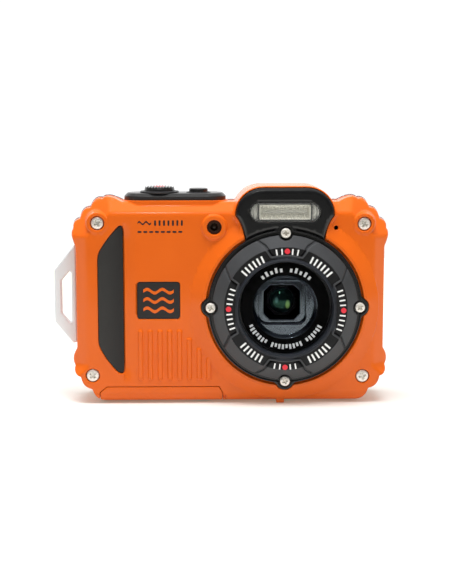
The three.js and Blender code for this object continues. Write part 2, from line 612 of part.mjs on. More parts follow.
// The grey bezel: a rim round the window, a recessed scale band, and a cone down to the edge.
function bezelRing() {
  const bandY = BEZEL_FRONT_Y + 0.7;
  const profile = [
    [WINDOW_R + GAP, BEZEL_BACK_Y], [BEZEL_R - 0.1, BEZEL_BACK_Y], [BEZEL_R, -10.6], [20.2, -13.2],
    [19.8, bandY], [16.6, bandY], [16.3, BEZEL_FRONT_Y], [15.7, BEZEL_FRONT_Y], [WINDOW_R + GAP, -13],
  ];
  const grooves = [];
  for (const [angle, spread] of GROOVES) {
    for (const side of [-1, 1]) {
      const turn = THREE.MathUtils.degToRad(angle + side * spread);
      const groove = new THREE.BoxGeometry(7, 3, 0.6).rotateY(side * 0.35);
      groove.translate(22.6, BEZEL_FRONT_Y + 0.2, 0).rotateY(-turn).translate(LENS.x, 0, LENS.z);
      grooves.push(manifoldOf(groove));
    }
  }
  return cut(
    turnedY(LENS.x, LENS.z, profile, 48),
    ...bezelScrews.map(([x, z]) => discY(x, z, 2.5, AHEAD_Y, 0, 12)),
    ...grooves,
  );
}

add("flash_and_lens_plate", basePlate(), "black");
add("bezel_ring", bezelRing(), "ring");
bezelScrews.forEach(([x, z], i) => {
  add("bezel_screw_" + (i + 1), screw(x, z, 1.7, -10.9, 1.1, -5.8), "steel");
});

add("lens_window", discY(LENS.x, LENS.z, WINDOW_R, -11, -9.6, 36), "glass");
add("window_mask", ringY(LENS.x, LENS.z, MASK_R, WINDOW_R - 0.3, -9, -9.3), "black");

// The moulded baffle behind the window steps in from a round mouth to the octagonal light opening.
function lensBaffle() {
  const outer = discY(LENS.x, LENS.z, BAFFLE_R, ...BAFFLE_Y, 32);
  const square = roundedRect(OPTIC.x - 8, OPTIC.z - 6.8, OPTIC.x + 8, OPTIC.z + 6.4, 2);
  const { halfWidth: w, halfHeight: h, corner: c } = LIGHT_OCTAGON;
  const octagon = polygon([
    [w, h - c], [w - c, h], [c - w, h], [-w, h - c], [-w, c - h], [c - w, -h], [w - c, -h], [w, c - h],
  ].map(([x, z]) => [OPTIC.x + x, OPTIC.z - 0.3 + z]));
  return cut(
    outer,
    discY(LENS.x, LENS.z, 12.2, AHEAD_Y, -8.1, 32),
    discY(OPTIC.x, OPTIC.z, 9.4, AHEAD_Y, -6.6, 28),
    prism(square, "y", AHEAD_Y, -5.2),
    prism(octagon, "y", AHEAD_Y, -3.6),
    discY(OPTIC.x, OPTIC.z, LIGHT_R, AHEAD_Y, 0, 24),
  );
}
add("lens_baffle", lensBaffle(), "black");

// ---- Folded zoom lens: light comes in at the front, turns down at the prism and runs to the sensor ----
function lensHousing() {
  const { halfWidth, z0, z1, y0, y1 } = MODULE;
  const bore = box(OPTIC.x - 7.2, OPTIC.x + 7.2, y0 + 1.6, y1 - 1.2, z0 + 3.4, z1 - 1.5);
  const sensorWell = box(OPTIC.x - LIGHT_R, OPTIC.x + LIGHT_R, y0 + 2.6, y1 - 1.5, z0 + 1.4, z0 + 5);
  return cut(
    box(OPTIC.x - halfWidth, OPTIC.x + halfWidth, y0, y1, z0, z1),
    bore,
    discY(OPTIC.x, OPTIC.z, LIGHT_R, -5, 2, 24),
    sensorWell,
  );
}
add("lens_housing", lensHousing(), "black");
add(
  "front_lens",
  turnedY(OPTIC.x, OPTIC.z, [[0, -3.9], [1.6, -3.75], [3, -3.25], [4.2, -2.5], [4.2, -1], [0, -1]], 24),
  "glass",
);
const prismShape = polygon([[0, OPTIC.z - LIGHT_R], [0, OPTIC.z + LIGHT_R], [6.8, OPTIC.z - LIGHT_R]]);
add("prism", prism(prismShape, "x", OPTIC.x - LIGHT_R, OPTIC.x + LIGHT_R), "clear");
const groupY = (MODULE.y0 + MODULE.y1) / 2;
add("zoom_group", discZ(OPTIC.x, groupY, 3.4, 22.5, 26.5, 24), "glass");
add("focus_group", discZ(OPTIC.x, groupY, 3.1, 14.5, 16.8, 24), "glass");
const sensorZ = MODULE.z0 + 1.7;
const sensor = box(OPTIC.x - 4.2, OPTIC.x + 4.2, groupY - 2.3, groupY + 2.6, sensorZ, sensorZ + 1.5);
add("image_sensor", sensor, "board");

// ---- Flash ----
add("flash_window", prism(flashStadium(0), "y", -8.9, -9.6), "clear");
function flashReflector() {
  const outer = box(FLASH.x - 8.2, FLASH.x + 8.2, -8.4, -2.6, FLASH.z - 2.3, FLASH.z + 2.3);
  const bowl = [[-9, 1.9], [-5.5, 1.6], [-4, 1], [-4, -1], [-5.5, -1.6], [-9, -1.9]];
  const placed = polygon(bowl.map(([y, z]) => [y, FLASH.z + z]));
  return cut(outer, prism(placed, "x", FLASH.x - 7.6, FLASH.x + 7.6));
}
add("flash_reflector", flashReflector(), "reflector");
const tube = new THREE.CylinderGeometry(0.6, 0.6, 14.4, 12).rotateZ(Math.PI / 2);
add("flash_tube", manifoldOf(tube.translate(FLASH.x, -5, FLASH.z)), "clear");

// ---- Top panel, shutter release and power button ----
function topPanel() {
  const plan = roundedRect(PANEL.x0, PANEL.y0, PANEL.x1, PANEL.y1, PANEL.cornerR);
  const wells = [SHUTTER, POWER].map((b) => {
    const floor = b.top - CAP_DEPTH - b.travel - GAP;
    return discZ(b.x, b.y, b.capR + 0.4, floor, 75, 20);
  });
  return cut(
    prism(plan, "z", PANEL.bottom, PANEL.top, 4, 0.9),
    ...wells,
    ...[SHUTTER, POWER].map((b) => discZ(b.x, b.y, b.stemR + 0.4, 60, 75, 12)),
  );
}
add("top_panel", topPanel(), "panel");

const turnedZ = (b, profile, segments) => {
  const points = [...profile, profile[0]].map(([r, z]) => new THREE.Vector2(r, z));
  return manifoldOf(new THREE.LatheGeometry(points, segments).rotateX(Math.PI / 2).translate(b.x, b.y, 0));
};
function collar(b) {
  const z0 = PANEL.top + GAP;
  const z1 = z0 + b.collarHeight;
  const inner = b.capR + GAP;
  return turnedZ(b, [[inner, z0], [b.collarR, z0], [b.collarR - 0.3, z1], [inner, z1]], 24);
}
function pressCap({ x, y, capR, stemR, top }) {
  const foot = PANEL.bottom + 0.6;
  const under = top - CAP_DEPTH;
  const profile = [
    [0, foot], [stemR, foot], [stemR, under], [capR, under],
    [capR, top - 0.5], [capR - 0.4, top], [0, top],
  ];
  return turnedZ({ x, y }, profile, 24);
}
add("shutter_collar", collar(SHUTTER), "rubber");
add("shutter_button", pressCap(SHUTTER), "panel");
add("power_collar", collar(POWER), "rubber");
add("power_button", pressCap(POWER), "panel");

// ---- Strap loop ----
function strapLoop() {
  const [y0, y1] = LOOP_Y;
  const outer = prism(polygon(LOOP_OUTER), "y", y0, y1);
  const tongue = box(-48.4, -45, y0 + 0.5, y1 - 0.5, 30.1, 39.9);
  const keeper = box(-45.2, -43.9, y0, y1, 27, 43);
  return join(cut(outer, prism(polygon(LOOP_HOLE), "y", 0, 9)), tongue, keeper);
}
add("strap_loop", strapLoop(), "loop");

// ---- Battery door ----
function roundedDoor() {
  const below = box(-60, 60, AHEAD_Y, BEHIND_Y, -9, BOTTOM_Z);
  const ahead = box(-60, 60, AHEAD_Y, FRONT_Y, -9, 9);
  return cut(doorBlock(0), lowerEdgeCut(), below, ahead);
}
function batteryDoor() {
  const corner = box(DOOR.x0 - 1, DOOR_PIN.x, -2, 9, -1, 5);
  return cut(
    join(cut(roundedDoor(), corner), doorBarrel(DOOR_PIN.barrelR, -2, DOOR.y1)),
    doorBarrel(DOOR_PIN.r + GAP, -4.9, 9, 8),
    box(-10.2, -3.4, -3.3, 1.7, 0, 1.5),
  );
}
add("battery_door", batteryDoor(), "orange");
add("door_latch", box(-7.9, -3.7, -3, 1.4, 0.55, 1.2), "panel");
add("door_hinge_pin", doorBarrel(DOOR_PIN.r, -4.6, 4.9, 8), "steel");
function doorSeal() {
  const { x0, x1, y0, y1, width, top } = DOOR_SEAL;
  const outer = box(x0, x1, y0, y1, DOOR.plateTop + GAP, top);
  return cut(outer, box(x0 + width, x1 - width, y0 + width, y1 - width, 0, 9));
}
add("door_gasket", doorSeal(), "rubber");

// ---- Rear screen and keys ----
function rockerOutline(grow) {
  const half = ROCKER.halfWidth + grow;
  return roundedRect(PAD.x - half, ROCKER.z0 - grow, PAD.x + half, ROCKER.z1 + grow, 2.4);
}
function arrowKey(i, grow, y0, y1) {
  const turn = (i * Math.PI) / 2;
  const half = [2.9 + grow, 1.7 + grow];
  const [w, h] = i % 2 ? half : [half[1], half[0]];
  const x = PAD.x + ARROW_R * Math.cos(turn);
  const z = PAD.z + ARROW_R * Math.sin(turn);
  return prism(roundedRect(x - w, z - h, x + w, z + h, 1.2), "y", y0, y1, 3);
}
const { x: sx, z: sz, halfWidth: sw, halfHeight: sh } = SCREEN;
const pane = roundedRect(sx - sw, sz - sh, sx + sw, sz + sh, 2.2);
add("screen_window", prism(pane, "y", REAR_Y - 0.8, REAR_Y + 0.2, 4), "screen");
add("screen_panel", box(sx - sw + 3.4, sx + sw - 3.4, 8.9, 11.9, sz - sh + 3.2, sz + sh - 3.2), "screen");

KEYS.forEach((key) => {
  add(key.name, discY(key.x, key.z, key.r, KEY_STEM_Y, KEY_FACE_Y, 20), key.material);
});
ARROWS.forEach((name, i) => add(name, arrowKey(i, 0, KEY_STEM_Y, KEY_FACE_Y), "key"));
add("zoom_rocker", prism(rockerOutline(0), "y", 11.2, KEY_FACE_Y - 0.4), "key");
add("key_board", box(-44.8, -21.5, 9.1, 9.9, 14.5, 54.5), "board");

// ---- Inside ----
add("main_board", box(-36.5, 9, 6.9, 7.9, 8, 62), "board");
const blockOf = ({ x0, x1, y0, y1, z0, z1 }) => box(x0, x1, y0, y1, z0, z1);
add("battery", blockOf(BATTERY), "battery");
add("memory_card", blockOf(CARD), "black");
function usbSocket() {
  const { x0, x1, y0, y1, z0, z1 } = SOCKET;
  return cut(box(x0, x1, y0, y1, z0, z1), box(x0 + 0.4, x1 - 0.4, y0 + 0.5, y1 - 0.5, z0 - 1, z1 - 1.2));
}
add("usb_socket", usbSocket(), "steel");
const capacitor = new THREE.CylinderGeometry(3.6, 3.6, 24, 20).rotateZ(Math.PI / 2);
add("flash_capacitor", manifoldOf(capacitor.translate(-17, 0.4, 54)), "black");
add("speaker", discY(40.5, 17, 6, -1, 2.4, 20), "black");
add("microphone", discY(MIC.x, MIC.z, 2.1, -4.7, -3.1, 12), "steel");
function tripodNut() {
  const flange = discZ(TRIPOD.x, TRIPOD.y, TRIPOD.flangeR, BOTTOM_Z, TRIPOD.top, 20);
  return cut(flange, discZ(TRIPOD.x, TRIPOD.y, TRIPOD.socketR, -1, TRIPOD.top - 1.2, 20));
}
add("tripod_nut", tripodNut(), "brass");

export default camera;
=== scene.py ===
"""The looks of a rugged waterproof compact camera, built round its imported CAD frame.

Sizes are in millimetres and become metres when a mesh is made. The front looks along -Y.
Moulded pieces are signed distance fields, negative inside, whose zero level is meshed.
"""

import functools
import json
import math

import bpy
import numpy as np
import openvdb
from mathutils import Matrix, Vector

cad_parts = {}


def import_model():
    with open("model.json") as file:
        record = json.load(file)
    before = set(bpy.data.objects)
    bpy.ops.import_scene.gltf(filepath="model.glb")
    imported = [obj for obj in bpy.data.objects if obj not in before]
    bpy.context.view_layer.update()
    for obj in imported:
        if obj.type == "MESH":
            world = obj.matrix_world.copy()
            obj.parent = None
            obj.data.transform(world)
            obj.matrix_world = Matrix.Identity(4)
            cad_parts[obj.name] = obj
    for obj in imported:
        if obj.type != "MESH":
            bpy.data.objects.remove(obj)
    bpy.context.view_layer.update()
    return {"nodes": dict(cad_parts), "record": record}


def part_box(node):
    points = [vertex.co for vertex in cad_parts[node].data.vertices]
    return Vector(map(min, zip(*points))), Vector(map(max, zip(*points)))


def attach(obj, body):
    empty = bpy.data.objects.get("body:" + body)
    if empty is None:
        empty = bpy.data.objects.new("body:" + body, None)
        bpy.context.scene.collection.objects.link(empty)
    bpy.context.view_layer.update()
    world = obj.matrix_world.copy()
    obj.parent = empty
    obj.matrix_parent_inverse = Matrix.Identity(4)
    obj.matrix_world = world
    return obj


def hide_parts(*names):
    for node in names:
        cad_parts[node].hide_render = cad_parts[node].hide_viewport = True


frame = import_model()

MM = 0.001


def box(node):
    """The lowest and highest corner of a CAD node, in millimetres."""
    low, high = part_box(node)
    return np.array(low) / MM, np.array(high) / MM


def middle(node):
    low, high = box(node)
    return (low + high) / 2


def radius(node):
    low, high = box(node)
    return (high[0] - low[0]) / 2


# ---- Sizes that several pieces share ----

BODY_X = middle("front_cover")[0]
HALF_WIDTH = 51.0
TOP_Z = 66.9
BOTTOM_Z = 0.5
FRONT_Y = -7.0
FRONT_SEAM_Y = box("front_cover")[1][1]
REAR_SEAM_Y = box("rear_cover")[0][1]
REAR_Y = 13.1
WALL = 1.9
SEAM = 0.16  # width of the fine line between two mouldings
CHAMFER = math.sqrt(0.5)  # scales the sum of two distances to that from a 45 degree plane

# Each corner of the casing is a run of lobes: valley, peak, valley ... as (offset from BODY_X, z).
TOP_CORNER = [
    (35.7, 66.9), (39.9, 68.5), (42.3, 67.7), (44.6, 67.4), (46.3, 64.7), (48.6, 63.9),
    (49.7, 61.1), (51.65, 60.0), (51.9, 57.9), (52.37, 55.9), (51.0, 52.0),
]
BOTTOM_CORNER = [
    (51.0, 18.2), (52.37, 15.0), (51.7, 12.4), (51.6, 10.4), (49.6, 9.0),
    (48.4, 6.2), (45.9, 4.9), (44.3, 2.0), (41.8, 0.5),
]

LENS = middle("bezel_ring")
BEZEL_R = radius("bezel_ring")
BEZEL_FRONT_Y = box("bezel_ring")[0][1]
PLATE_FACE_Y, PLATE_BACK_Y = -9.5, -8.2
BAND_Y = -12.75  # the floor of the bezel's scale band
OPTIC = middle("front_lens")
FLASH = middle("flash_window")
COVER_SCREWS = [middle(f"cover_screw_{i}") for i in range(1, 5)]
BEZEL_SCREWS = [middle(f"bezel_screw_{i}") for i in range(1, 5)]
LAMP = middle("focus_lamp_lens")
MIC = middle("microphone")
SHUTTER, POWER = middle("shutter_button"), middle("power_button")
BADGE = middle("front_badge")
HINGE_X, HINGE_Z = -38.55, 1.45  # the battery door's pin runs along Y here
BOSS_R, SCREW_HOLE_R = 3.7, 1.3
ROUND_KEYS = ["record_button", "delete_button", "menu_button", "playback_button", "ok_button"]
FLAT_KEYS = ["arrow_right", "arrow_up", "arrow_left", "arrow_down", "zoom_rocker"]


# ---- Distance fields ----


def both(*fields):
    """Inside every one of the fields, with sharp edges."""
    return functools.reduce(np.maximum, fields)


def either(*fields):
    """Inside any one of the fields."""
    return functools.reduce(np.minimum, fields)


def soft_max(a, b, r):
    """Both at once, with the edge between them rounded to radius r."""
    outside = np.hypot(np.maximum(a + r, 0), np.maximum(b + r, 0))
    return np.minimum(-r, np.maximum(a, b)) + outside


def soft_min(a, b, r):
    """Either, with a fillet of radius r where they meet."""
    return -soft_max(-a, -b, r)


def soft_cut(a, b, r):
    return soft_max(a, -b, r)


def carve(a, *holes):
    """The field a with each hole cut out of it, sharp-edged."""
    return both(a, *(-hole for hole in holes))


def slab(t, low, high):
    return np.abs(t - (low + high) / 2) - (high - low) / 2


def rounded_rect(a, b, low, high, r):
    qa = slab(a, low[0], high[0]) + r
    qb = slab(b, low[1], high[1]) + r
    return np.hypot(np.maximum(qa, 0), np.maximum(qb, 0)) + np.minimum(np.maximum(qa, qb), 0) - r


def cuboid(x, y, z, low, high):
    return both(slab(x, low[0], high[0]), slab(y, low[1], high[1]), slab(z, low[2], high[2]))


def off_axis(x, z, c):
    """Distance from the line along Y through the point c."""
    return np.hypot(x - c[0], z - c[2])


def off_upright(x, y, c):
    """Distance from the upright line through the point c."""
    return np.hypot(x - c[0], y - c[1])


def box_outline(node, x, z, grow, r):
    """A node's box seen from the front, grown a little, with its corners rounded."""
    low, high = box(node)
    return rounded_rect(x, z, (low[0] - grow, low[2] - grow), (high[0] + grow, high[2] + grow), r)


def outline_distance(points, a, b):
    """Distance to a closed outline in a plane, negative inside it."""
    nearest, inside = np.inf, False
    for (a0, b0), (a1, b1) in zip(points, points[1:] + points[:1]):
        da, db = a1 - a0, b1 - b0
        wa, wb = a - a0, b - b0
        t = np.clip((wa * da + wb * db) / (da * da + db * db), 0, 1)
        nearest = np.minimum(nearest, (wa - t * da) ** 2 + (wb - t * db) ** 2)
        if db:
            inside = inside ^ (((b0 > b) != (b1 > b)) & (a < da * (b - b0) / db + a0))
    nearest = np.sqrt(nearest)
    return np.where(inside, -nearest, nearest)


def bend(p0, control, p1, steps=8):
    """Points of a quadratic curve, without its last one."""
    points = []
    for i in range(steps):
        t = i / steps
        w = ((1 - t) ** 2, 2 * t * (1 - t), t * t)
        points.append(tuple(w[0] * p0[k] + w[1] * control[k] + w[2] * p1[k] for k in (0, 1)))
    return points


def mirrored(half):
    """An outline made of its right half's points and their mirror image."""
    return [(-a, b) for a, b in reversed(half)] + half


def arc(centre, r, start, end, steps=10):
    turns = np.radians(np.linspace(start, end, steps + 1))
    return [(centre[0] + r * math.cos(t), centre[1] + r * math.sin(t)) for t in turns]


def smooth_step(t, low, high):
    s = np.clip((t - low) / (high - low), 0, 1)
    return s * s * (3 - 2 * s)


# ---- Meshes ----


def value_and_slope(field, p, step=0.02):
    """The field at each point, and its gradient there by forward differences."""
    value = field(*p.T)
    columns = []
    for axis in range(3):
        ahead = p.copy()
        ahead[:, axis] += step
        columns.append((field(*ahead.T) - value) / step)
    return value, np.stack(columns, 1)


def link(name, data):
    """A new object of the scene, made of a mesh, a light or a camera."""
    thing = bpy.data.objects.new(name, data)
    bpy.context.scene.collection.objects.link(thing)
    return thing


def mesh_piece(name, points, faces, normals=None):
    mesh = bpy.data.meshes.new(name)
    mesh.from_pydata(np.asarray(points) * MM, [], faces)
    mesh.polygons.foreach_set("use_smooth", [True] * len(mesh.polygons))
    mesh.update()
    if normals is not None:
        mesh.normals_split_custom_set_from_vertices(normals)
    return link(name, mesh)


COARSER = 1.0


def mould(name, field, low, high, voxel, adaptivity=0.04):
    """Meshes the zero level of field(x, y, z), and takes its normals from the field."""
    voxel *= COARSER
    axes = [np.arange(a - 2 * voxel, b + 3 * voxel, voxel) for a, b in zip(low, high)]
    x, y, z = (t.astype(np.float32) for t in axes)
    values = field(x[:, None, None], y[None, :, None], z[None, None, :]) / voxel
    values = np.broadcast_to(np.clip(values, -3, 3), [len(t) for t in axes])
    grid = openvdb.FloatGrid(3.0)
    grid.copyFromArray(np.array(values, np.float32))
    points, triangles, quads = grid.convertToPolygons(isovalue=0.0, adaptivity=adaptivity)
    points = points.astype(float) * voxel + [t[0] for t in axes]
    value, slope = value_and_slope(field, points)
    shift = np.clip(value / np.maximum((slope**2).sum(1), 0.2), -voxel / 2, voxel / 2)
    points -= slope * shift[:, None]
    _, normals = value_and_slope(field, points)
    normals /= np.maximum(np.linalg.norm(normals, axis=1), 1e-6)[:, None]
    faces = [tuple(f) for f in triangles] + [tuple(f) for f in quads]
    corners = points[[f[:3] for f in faces]]
    across = np.cross(corners[:, 1] - corners[:, 0], corners[:, 2] - corners[:, 0])
    if (across * normals[[f[0] for f in faces]]).sum() < 0:
        faces = [f[::-1] for f in faces]
    return mesh_piece(name, points, faces, normals)


def turned(name, profile, centre, steps=96):
    """Turns a closed profile of (radius, y) points about the line along Y through a point."""
    points, faces = [], []
    for i in range(steps):
        t = 2 * math.pi * i / steps
        points += [(centre[0] + r * math.sin(t), y, centre[2] + r * math.cos(t)) for r, y in profile]
    n = len(profile)
    for i in range(steps):
        j = (i + 1) % steps
        for k in range(n):
            m = (k + 1) % n
            faces.append((i * n + k, i * n + m, j * n + m, j * n + k))
    piece = mesh_piece(name, points, faces)
    piece.data.set_sharp_from_angle(angle=math.radians(30))
    return piece


def stamps(name, outlines, y0, y1):
    """Thin prints: each outline of (x, z) points, anticlockwise, runs from y0 back to y1."""
    points, faces = [], []
    for outline in outlines:
        first, n = len(points), len(outline)
        points += [(a, y0, b) for a, b in outline] + [(a, y1, b) for a, b in outline]
        faces.append(tuple(range(first, first + n)))
        faces.append(tuple(range(first + 2 * n - 1, first + n - 1, -1)))
        for k in range(n):
            m = (k + 1) % n
            faces.append((first + k, first + n + k, first + n + m, first + m))
    mesh = bpy.data.meshes.new(name)
    mesh.from_pydata(np.array(points) * MM, [], faces)
    mesh.update()
    return link(name, mesh)


def place(piece, body, slot, material, *nodes):
    piece.data.materials.clear()
    piece.data.materials.append(material)
    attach(piece, body)
    if nodes:
        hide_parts(*nodes)
    return piece


def replace_node(node, name, field, voxel, slot, material, body="casing", margin=0.0, adaptivity=0.04):
    """Meshes a field within a CAD node's box, as the piece that takes the node's place."""
    low, high = box(node)
    piece = mould(name, field, low - margin, high + margin, voxel, adaptivity)
    return place(piece, body, slot, material, node)


# ---- Materials ----


def plug(node, sockets):
    """Links each named or numbered input from a socket, or sets it to a value."""
    for key, value in sockets.items():
        if isinstance(value, bpy.types.NodeSocket):
            node.id_data.links.new(value, node.inputs[key])
        else:
            node.inputs[key].default_value = value
    return node


def add(tree, kind, sockets, **settings):
    node = tree.nodes.new("ShaderNode" + kind)
    for name, value in settings.items():
        setattr(node, name, value)
    return plug(node, sockets)


def ramp(tree, socket, low, high, start, end):
    """A smooth change from start to end as the socket's value goes from low to high."""
    sockets = {"Value": socket, "From Min": low, "From Max": high, "To Min": start, "To Max": end}
    return add(tree, "MapRange", sockets, interpolation_type="SMOOTHSTEP").outputs["Result"]


def calculate(tree, operation, a, b):
    return add(tree, "Math", {0: a, 1: b}, operation=operation).outputs[0]


def mix(tree, factor, a, b, kind="FLOAT"):
    return add(tree, "Mix", {"Factor": factor, "A": a, "B": b}, data_type=kind).outputs["Result"]


def noise(tree, size_mm, detail):
    """Noise over the object's own coordinates, with features of about a size."""
    where = next((n for n in tree.nodes if n.bl_idname == "ShaderNodeTexCoord"), None)
    where = where or add(tree, "TexCoord", {})
    sockets = {"Vector": where.outputs["Object"], "Scale": 1000 / size_mm, "Detail": detail}
    return add(tree, "TexNoise", sockets).outputs["Fac"]


MATERIALS = {}  # by name; the usual material of a slot has the slot's name


def new_material(name):
    material = MATERIALS[name] = bpy.data.materials.new(name)
    material.use_nodes = True
    return material, material.node_tree


def shader_of(material):
    return material.node_tree.nodes["Principled BSDF"]


GLOSS_SPREAD = 0.07  # how far the grain carries the roughness either way
HAZE_MM = 1000 / 60  # the size of the faint clouds in clear glass


def plastic(
    name, dark, light, roughness, grain_mm=0.35, bump_mm=0.006, patch_mm=9.0,
    metallic=0.0, coat=0.0, specular=0.5,
):
    """A moulded surface: a slow drift between two colours, a fine grain, and gloss that varies with it."""
    material, tree = new_material(name)
    colour = mix(tree, noise(tree, patch_mm, 3), (*dark, 1), (*light, 1), "RGBA")
    grain = noise(tree, grain_mm, 4)
    gloss = {"Value": grain, "To Min": roughness - GLOSS_SPREAD, "To Max": roughness + GLOSS_SPREAD}
    relief = {"Height": grain, "Distance": bump_mm * MM}
    plug(shader_of(material), {
        "Base Color": colour,
        "Metallic": metallic,
        "Roughness": add(tree, "MapRange", gloss).outputs["Result"],
        "Coat Weight": coat,
        "Coat Roughness": 0.12,
        "Specular IOR Level": specular,
        "Normal": add(tree, "Bump", relief).outputs["Normal"],
    })
    return material


def clear_glass(name, tint, gloss, roughness=0.02, milk=0.0):
    """Thin clear glass: it lets light straight through, and reflects more at a glancing angle."""
    material, tree = new_material(name)
    tree.nodes.remove(shader_of(material))
    colour = mix(tree, noise(tree, HAZE_MM, 2), (*[t * 0.97 for t in tint], 1), (*tint, 1), "RGBA")
    through = add(tree, "BsdfTransparent", {"Color": colour}).outputs["BSDF"]
    cloud = add(tree, "BsdfDiffuse", {"Color": colour}).outputs["BSDF"]
    mirror = add(tree, "BsdfGlossy", {"Roughness": roughness}).outputs["BSDF"]
    facing = add(tree, "LayerWeight", {"Blend": 0.5}).outputs["Facing"]
    glancing = calculate(tree, "MAXIMUM", calculate(tree, "POWER", facing, 5.0), gloss)
    cloudy = add(tree, "MixShader", {"Fac": milk, 1: through, 2: cloud}).outputs["Shader"]
    glass = add(tree, "MixShader", {"Fac": glancing, 1: cloudy, 2: mirror}).outputs["Shader"]
    plug(tree.nodes["Material Output"], {"Surface": glass})
    return material


def glow(material, colour, strength):
    plug(shader_of(material), {"Emission Color": (*colour, 1), "Emission Strength": strength})


def srgb(r, g, b):
    """A colour from its 0 to 255 screen values."""
    out = []
    for v in (r / 255, g / 255, b / 255):
        out.append(v / 12.92 if v <= 0.04045 else ((v + 0.055) / 1.055) ** 2.4)
    return out


ORANGE = plastic(
    "orange_shell", (0.73, 0.116, 0.003), (0.78, 0.132, 0.005), 0.42,
    grain_mm=0.3, bump_mm=0.003, coat=0.3, specular=0.2,
)
GRIP = plastic("grip_rubber", srgb(37, 35, 33), srgb(45, 43, 41), 0.62, grain_mm=0.22, bump_mm=0.015)
SEAL = plastic("seal_rubber", srgb(40, 40, 42), srgb(52, 52, 54), 0.5)
# Painted highlight: the cover seal is coloured pale grey to stand in for the light it catches along the top
# seam.
SEAL_PAINTED_HIGHLIGHT = plastic("cover_seal_painted_highlight", srgb(158, 158, 160), srgb(176, 176, 178), 0.35, coat=0.5)
BLACK = plastic("black_plastic", srgb(15, 15, 16), srgb(21, 21, 22), 0.3, grain_mm=0.25, bump_mm=0.004)
BEZEL = plastic(
    "bezel_grey", srgb(60, 61, 63), srgb(76, 77, 79), 0.42,
    grain_mm=0.16, bump_mm=0.012, metallic=0.2, specular=0.3,
)
PANEL = plastic("panel_plastic", srgb(32, 31, 31), srgb(42, 41, 41), 0.36, grain_mm=0.3, bump_mm=0.008)
KEY = plastic("key_plastic", srgb(44, 44, 46), srgb(56, 56, 58), 0.5)
RED = plastic("red_plastic", srgb(190, 30, 42), srgb(214, 40, 54), 0.4)
STEEL = plastic(
    "screw_steel", srgb(222, 216, 206), srgb(250, 246, 238), 0.3,
    grain_mm=0.5, bump_mm=0.01, patch_mm=0.8, metallic=0.4,
)
ALLOY = plastic("loop_metal", srgb(224, 226, 228), srgb(238, 240, 242), 0.42, grain_mm=0.2, metallic=0.25)
MIRROR = plastic("reflector_metal", srgb(240, 238, 230), srgb(252, 250, 244), 0.3, metallic=0.1)
# Painted light: the flash reflector glows faintly to brighten its shaded inside. It is not a lamp.
glow(MIRROR, (1, 0.98, 0.93), 0.03)
SCREEN = plastic(
    "screen_glass", srgb(10, 11, 13), srgb(16, 17, 20), 0.12, bump_mm=0.0, coat=0.15, specular=0.3,
)
plastic("circuit_board", srgb(22, 78, 44), srgb(32, 98, 56), 0.5, patch_mm=2)
plastic("battery_wrap", srgb(38, 42, 52), srgb(48, 54, 66), 0.45)
plastic("brass_insert", srgb(176, 148, 86), srgb(198, 172, 108), 0.34, metallic=1.0)
PRINT_WHITE = plastic("white_print", srgb(214, 214, 212), srgb(236, 236, 234), 0.5, bump_mm=0.0)
PRINT_RED = plastic("red_print", srgb(218, 38, 54), srgb(232, 50, 64), 0.45, bump_mm=0.0)
# Painted light: the white and red prints glow a little so that they stay bright on the dark dial and mask.
glow(PRINT_WHITE, srgb(235, 235, 233), 0.16)
glow(PRINT_RED, srgb(225, 40, 56), 0.06)
PRINT_DARK = plastic("dark_print", srgb(20, 17, 17), srgb(28, 25, 24), 0.5, bump_mm=0.0)
MASK = plastic("mask_black", srgb(7, 7, 8), srgb(12, 11, 11), 0.6, bump_mm=0.0, specular=0.05)
BAFFLE = plastic("baffle_black", srgb(8, 10, 17), srgb(13, 17, 27), 0.1, bump_mm=0.0, specular=1.0)
plug(shader_of(BAFFLE), {"IOR": 1.65, "Specular Tint": (0.8, 0.9, 1.0, 1)})
CORE = plastic("barrel_black", srgb(7, 7, 8), srgb(12, 11, 11), 0.4, bump_mm=0.002, specular=0.4)
LENS_GLASS = plastic("lens_glass", srgb(8, 16, 18), srgb(14, 24, 26), 0.09, bump_mm=0.0)
plug(shader_of(LENS_GLASS), {"Specular Tint": (0.3, 0.85, 0.55, 1)})
LAMP_GLASS = plastic("lamp_glass", srgb(38, 24, 16), srgb(66, 42, 28), 0.2, bump_mm=0.0, patch_mm=1.5)
WINDOW_GLASS = clear_glass("window_glass", (0.96, 0.97, 0.98), 0.0)
CLEAR = clear_glass("clear_plastic", (0.98, 0.98, 0.96), 0.02, 0.05, milk=0.05)
END_CAP = plastic("flash_end_plastic", srgb(196, 196, 194), srgb(216, 216, 213), 0.3)


def object_distance(tree, centre_mm, keep):
    """Distance from a point, counting only the axes kept, as a socket in metres."""
    where = next(n for n in tree.nodes if n.bl_idname == "ShaderNodeTexCoord").outputs["Object"]
    centre = [c * MM for c in centre_mm]
    offset = add(tree, "VectorMath", {0: where, 1: centre}, operation="SUBTRACT").outputs["Vector"]
    flat = add(tree, "VectorMath", {0: offset, 1: keep}, operation="MULTIPLY").outputs["Vector"]
    return add(tree, "VectorMath", {0: flat}, operation="LENGTH").outputs["Value"]


def tint(material, factor, colour):
    """Lays a colour over a material's own, by the factor socket."""
    shader = shader_of(material)
    own = shader.inputs["Base Color"].links[0].from_socket
    plug(shader, {"Base Color": mix(material.node_tree, factor, own, (*colour, 1), "RGBA")})


def paint_ring(material, centre, r0, r1, front, colour):
    """Colours the part of a ring about the Y axis that lies behind y = front."""
    tree, edge, far = material.node_tree, 0.03, 20
    r = object_distance(tree, centre, (1, 0, 1))
    inside = ramp(tree, r, (r1 - edge) * MM, (r1 + edge) * MM, 1, 0)
    outside = ramp(tree, r, (r0 - edge) * MM, (r0 + edge) * MM, 0, 1)
    depth = object_distance(tree, (0, front - far, 0), (0, 1, 0))
    behind = ramp(tree, depth, (far - 2 * edge) * MM, far * MM, 0, 1)
    ring = calculate(tree, "MULTIPLY", inside, outside)
    tint(material, calculate(tree, "MULTIPLY", ring, behind), colour)


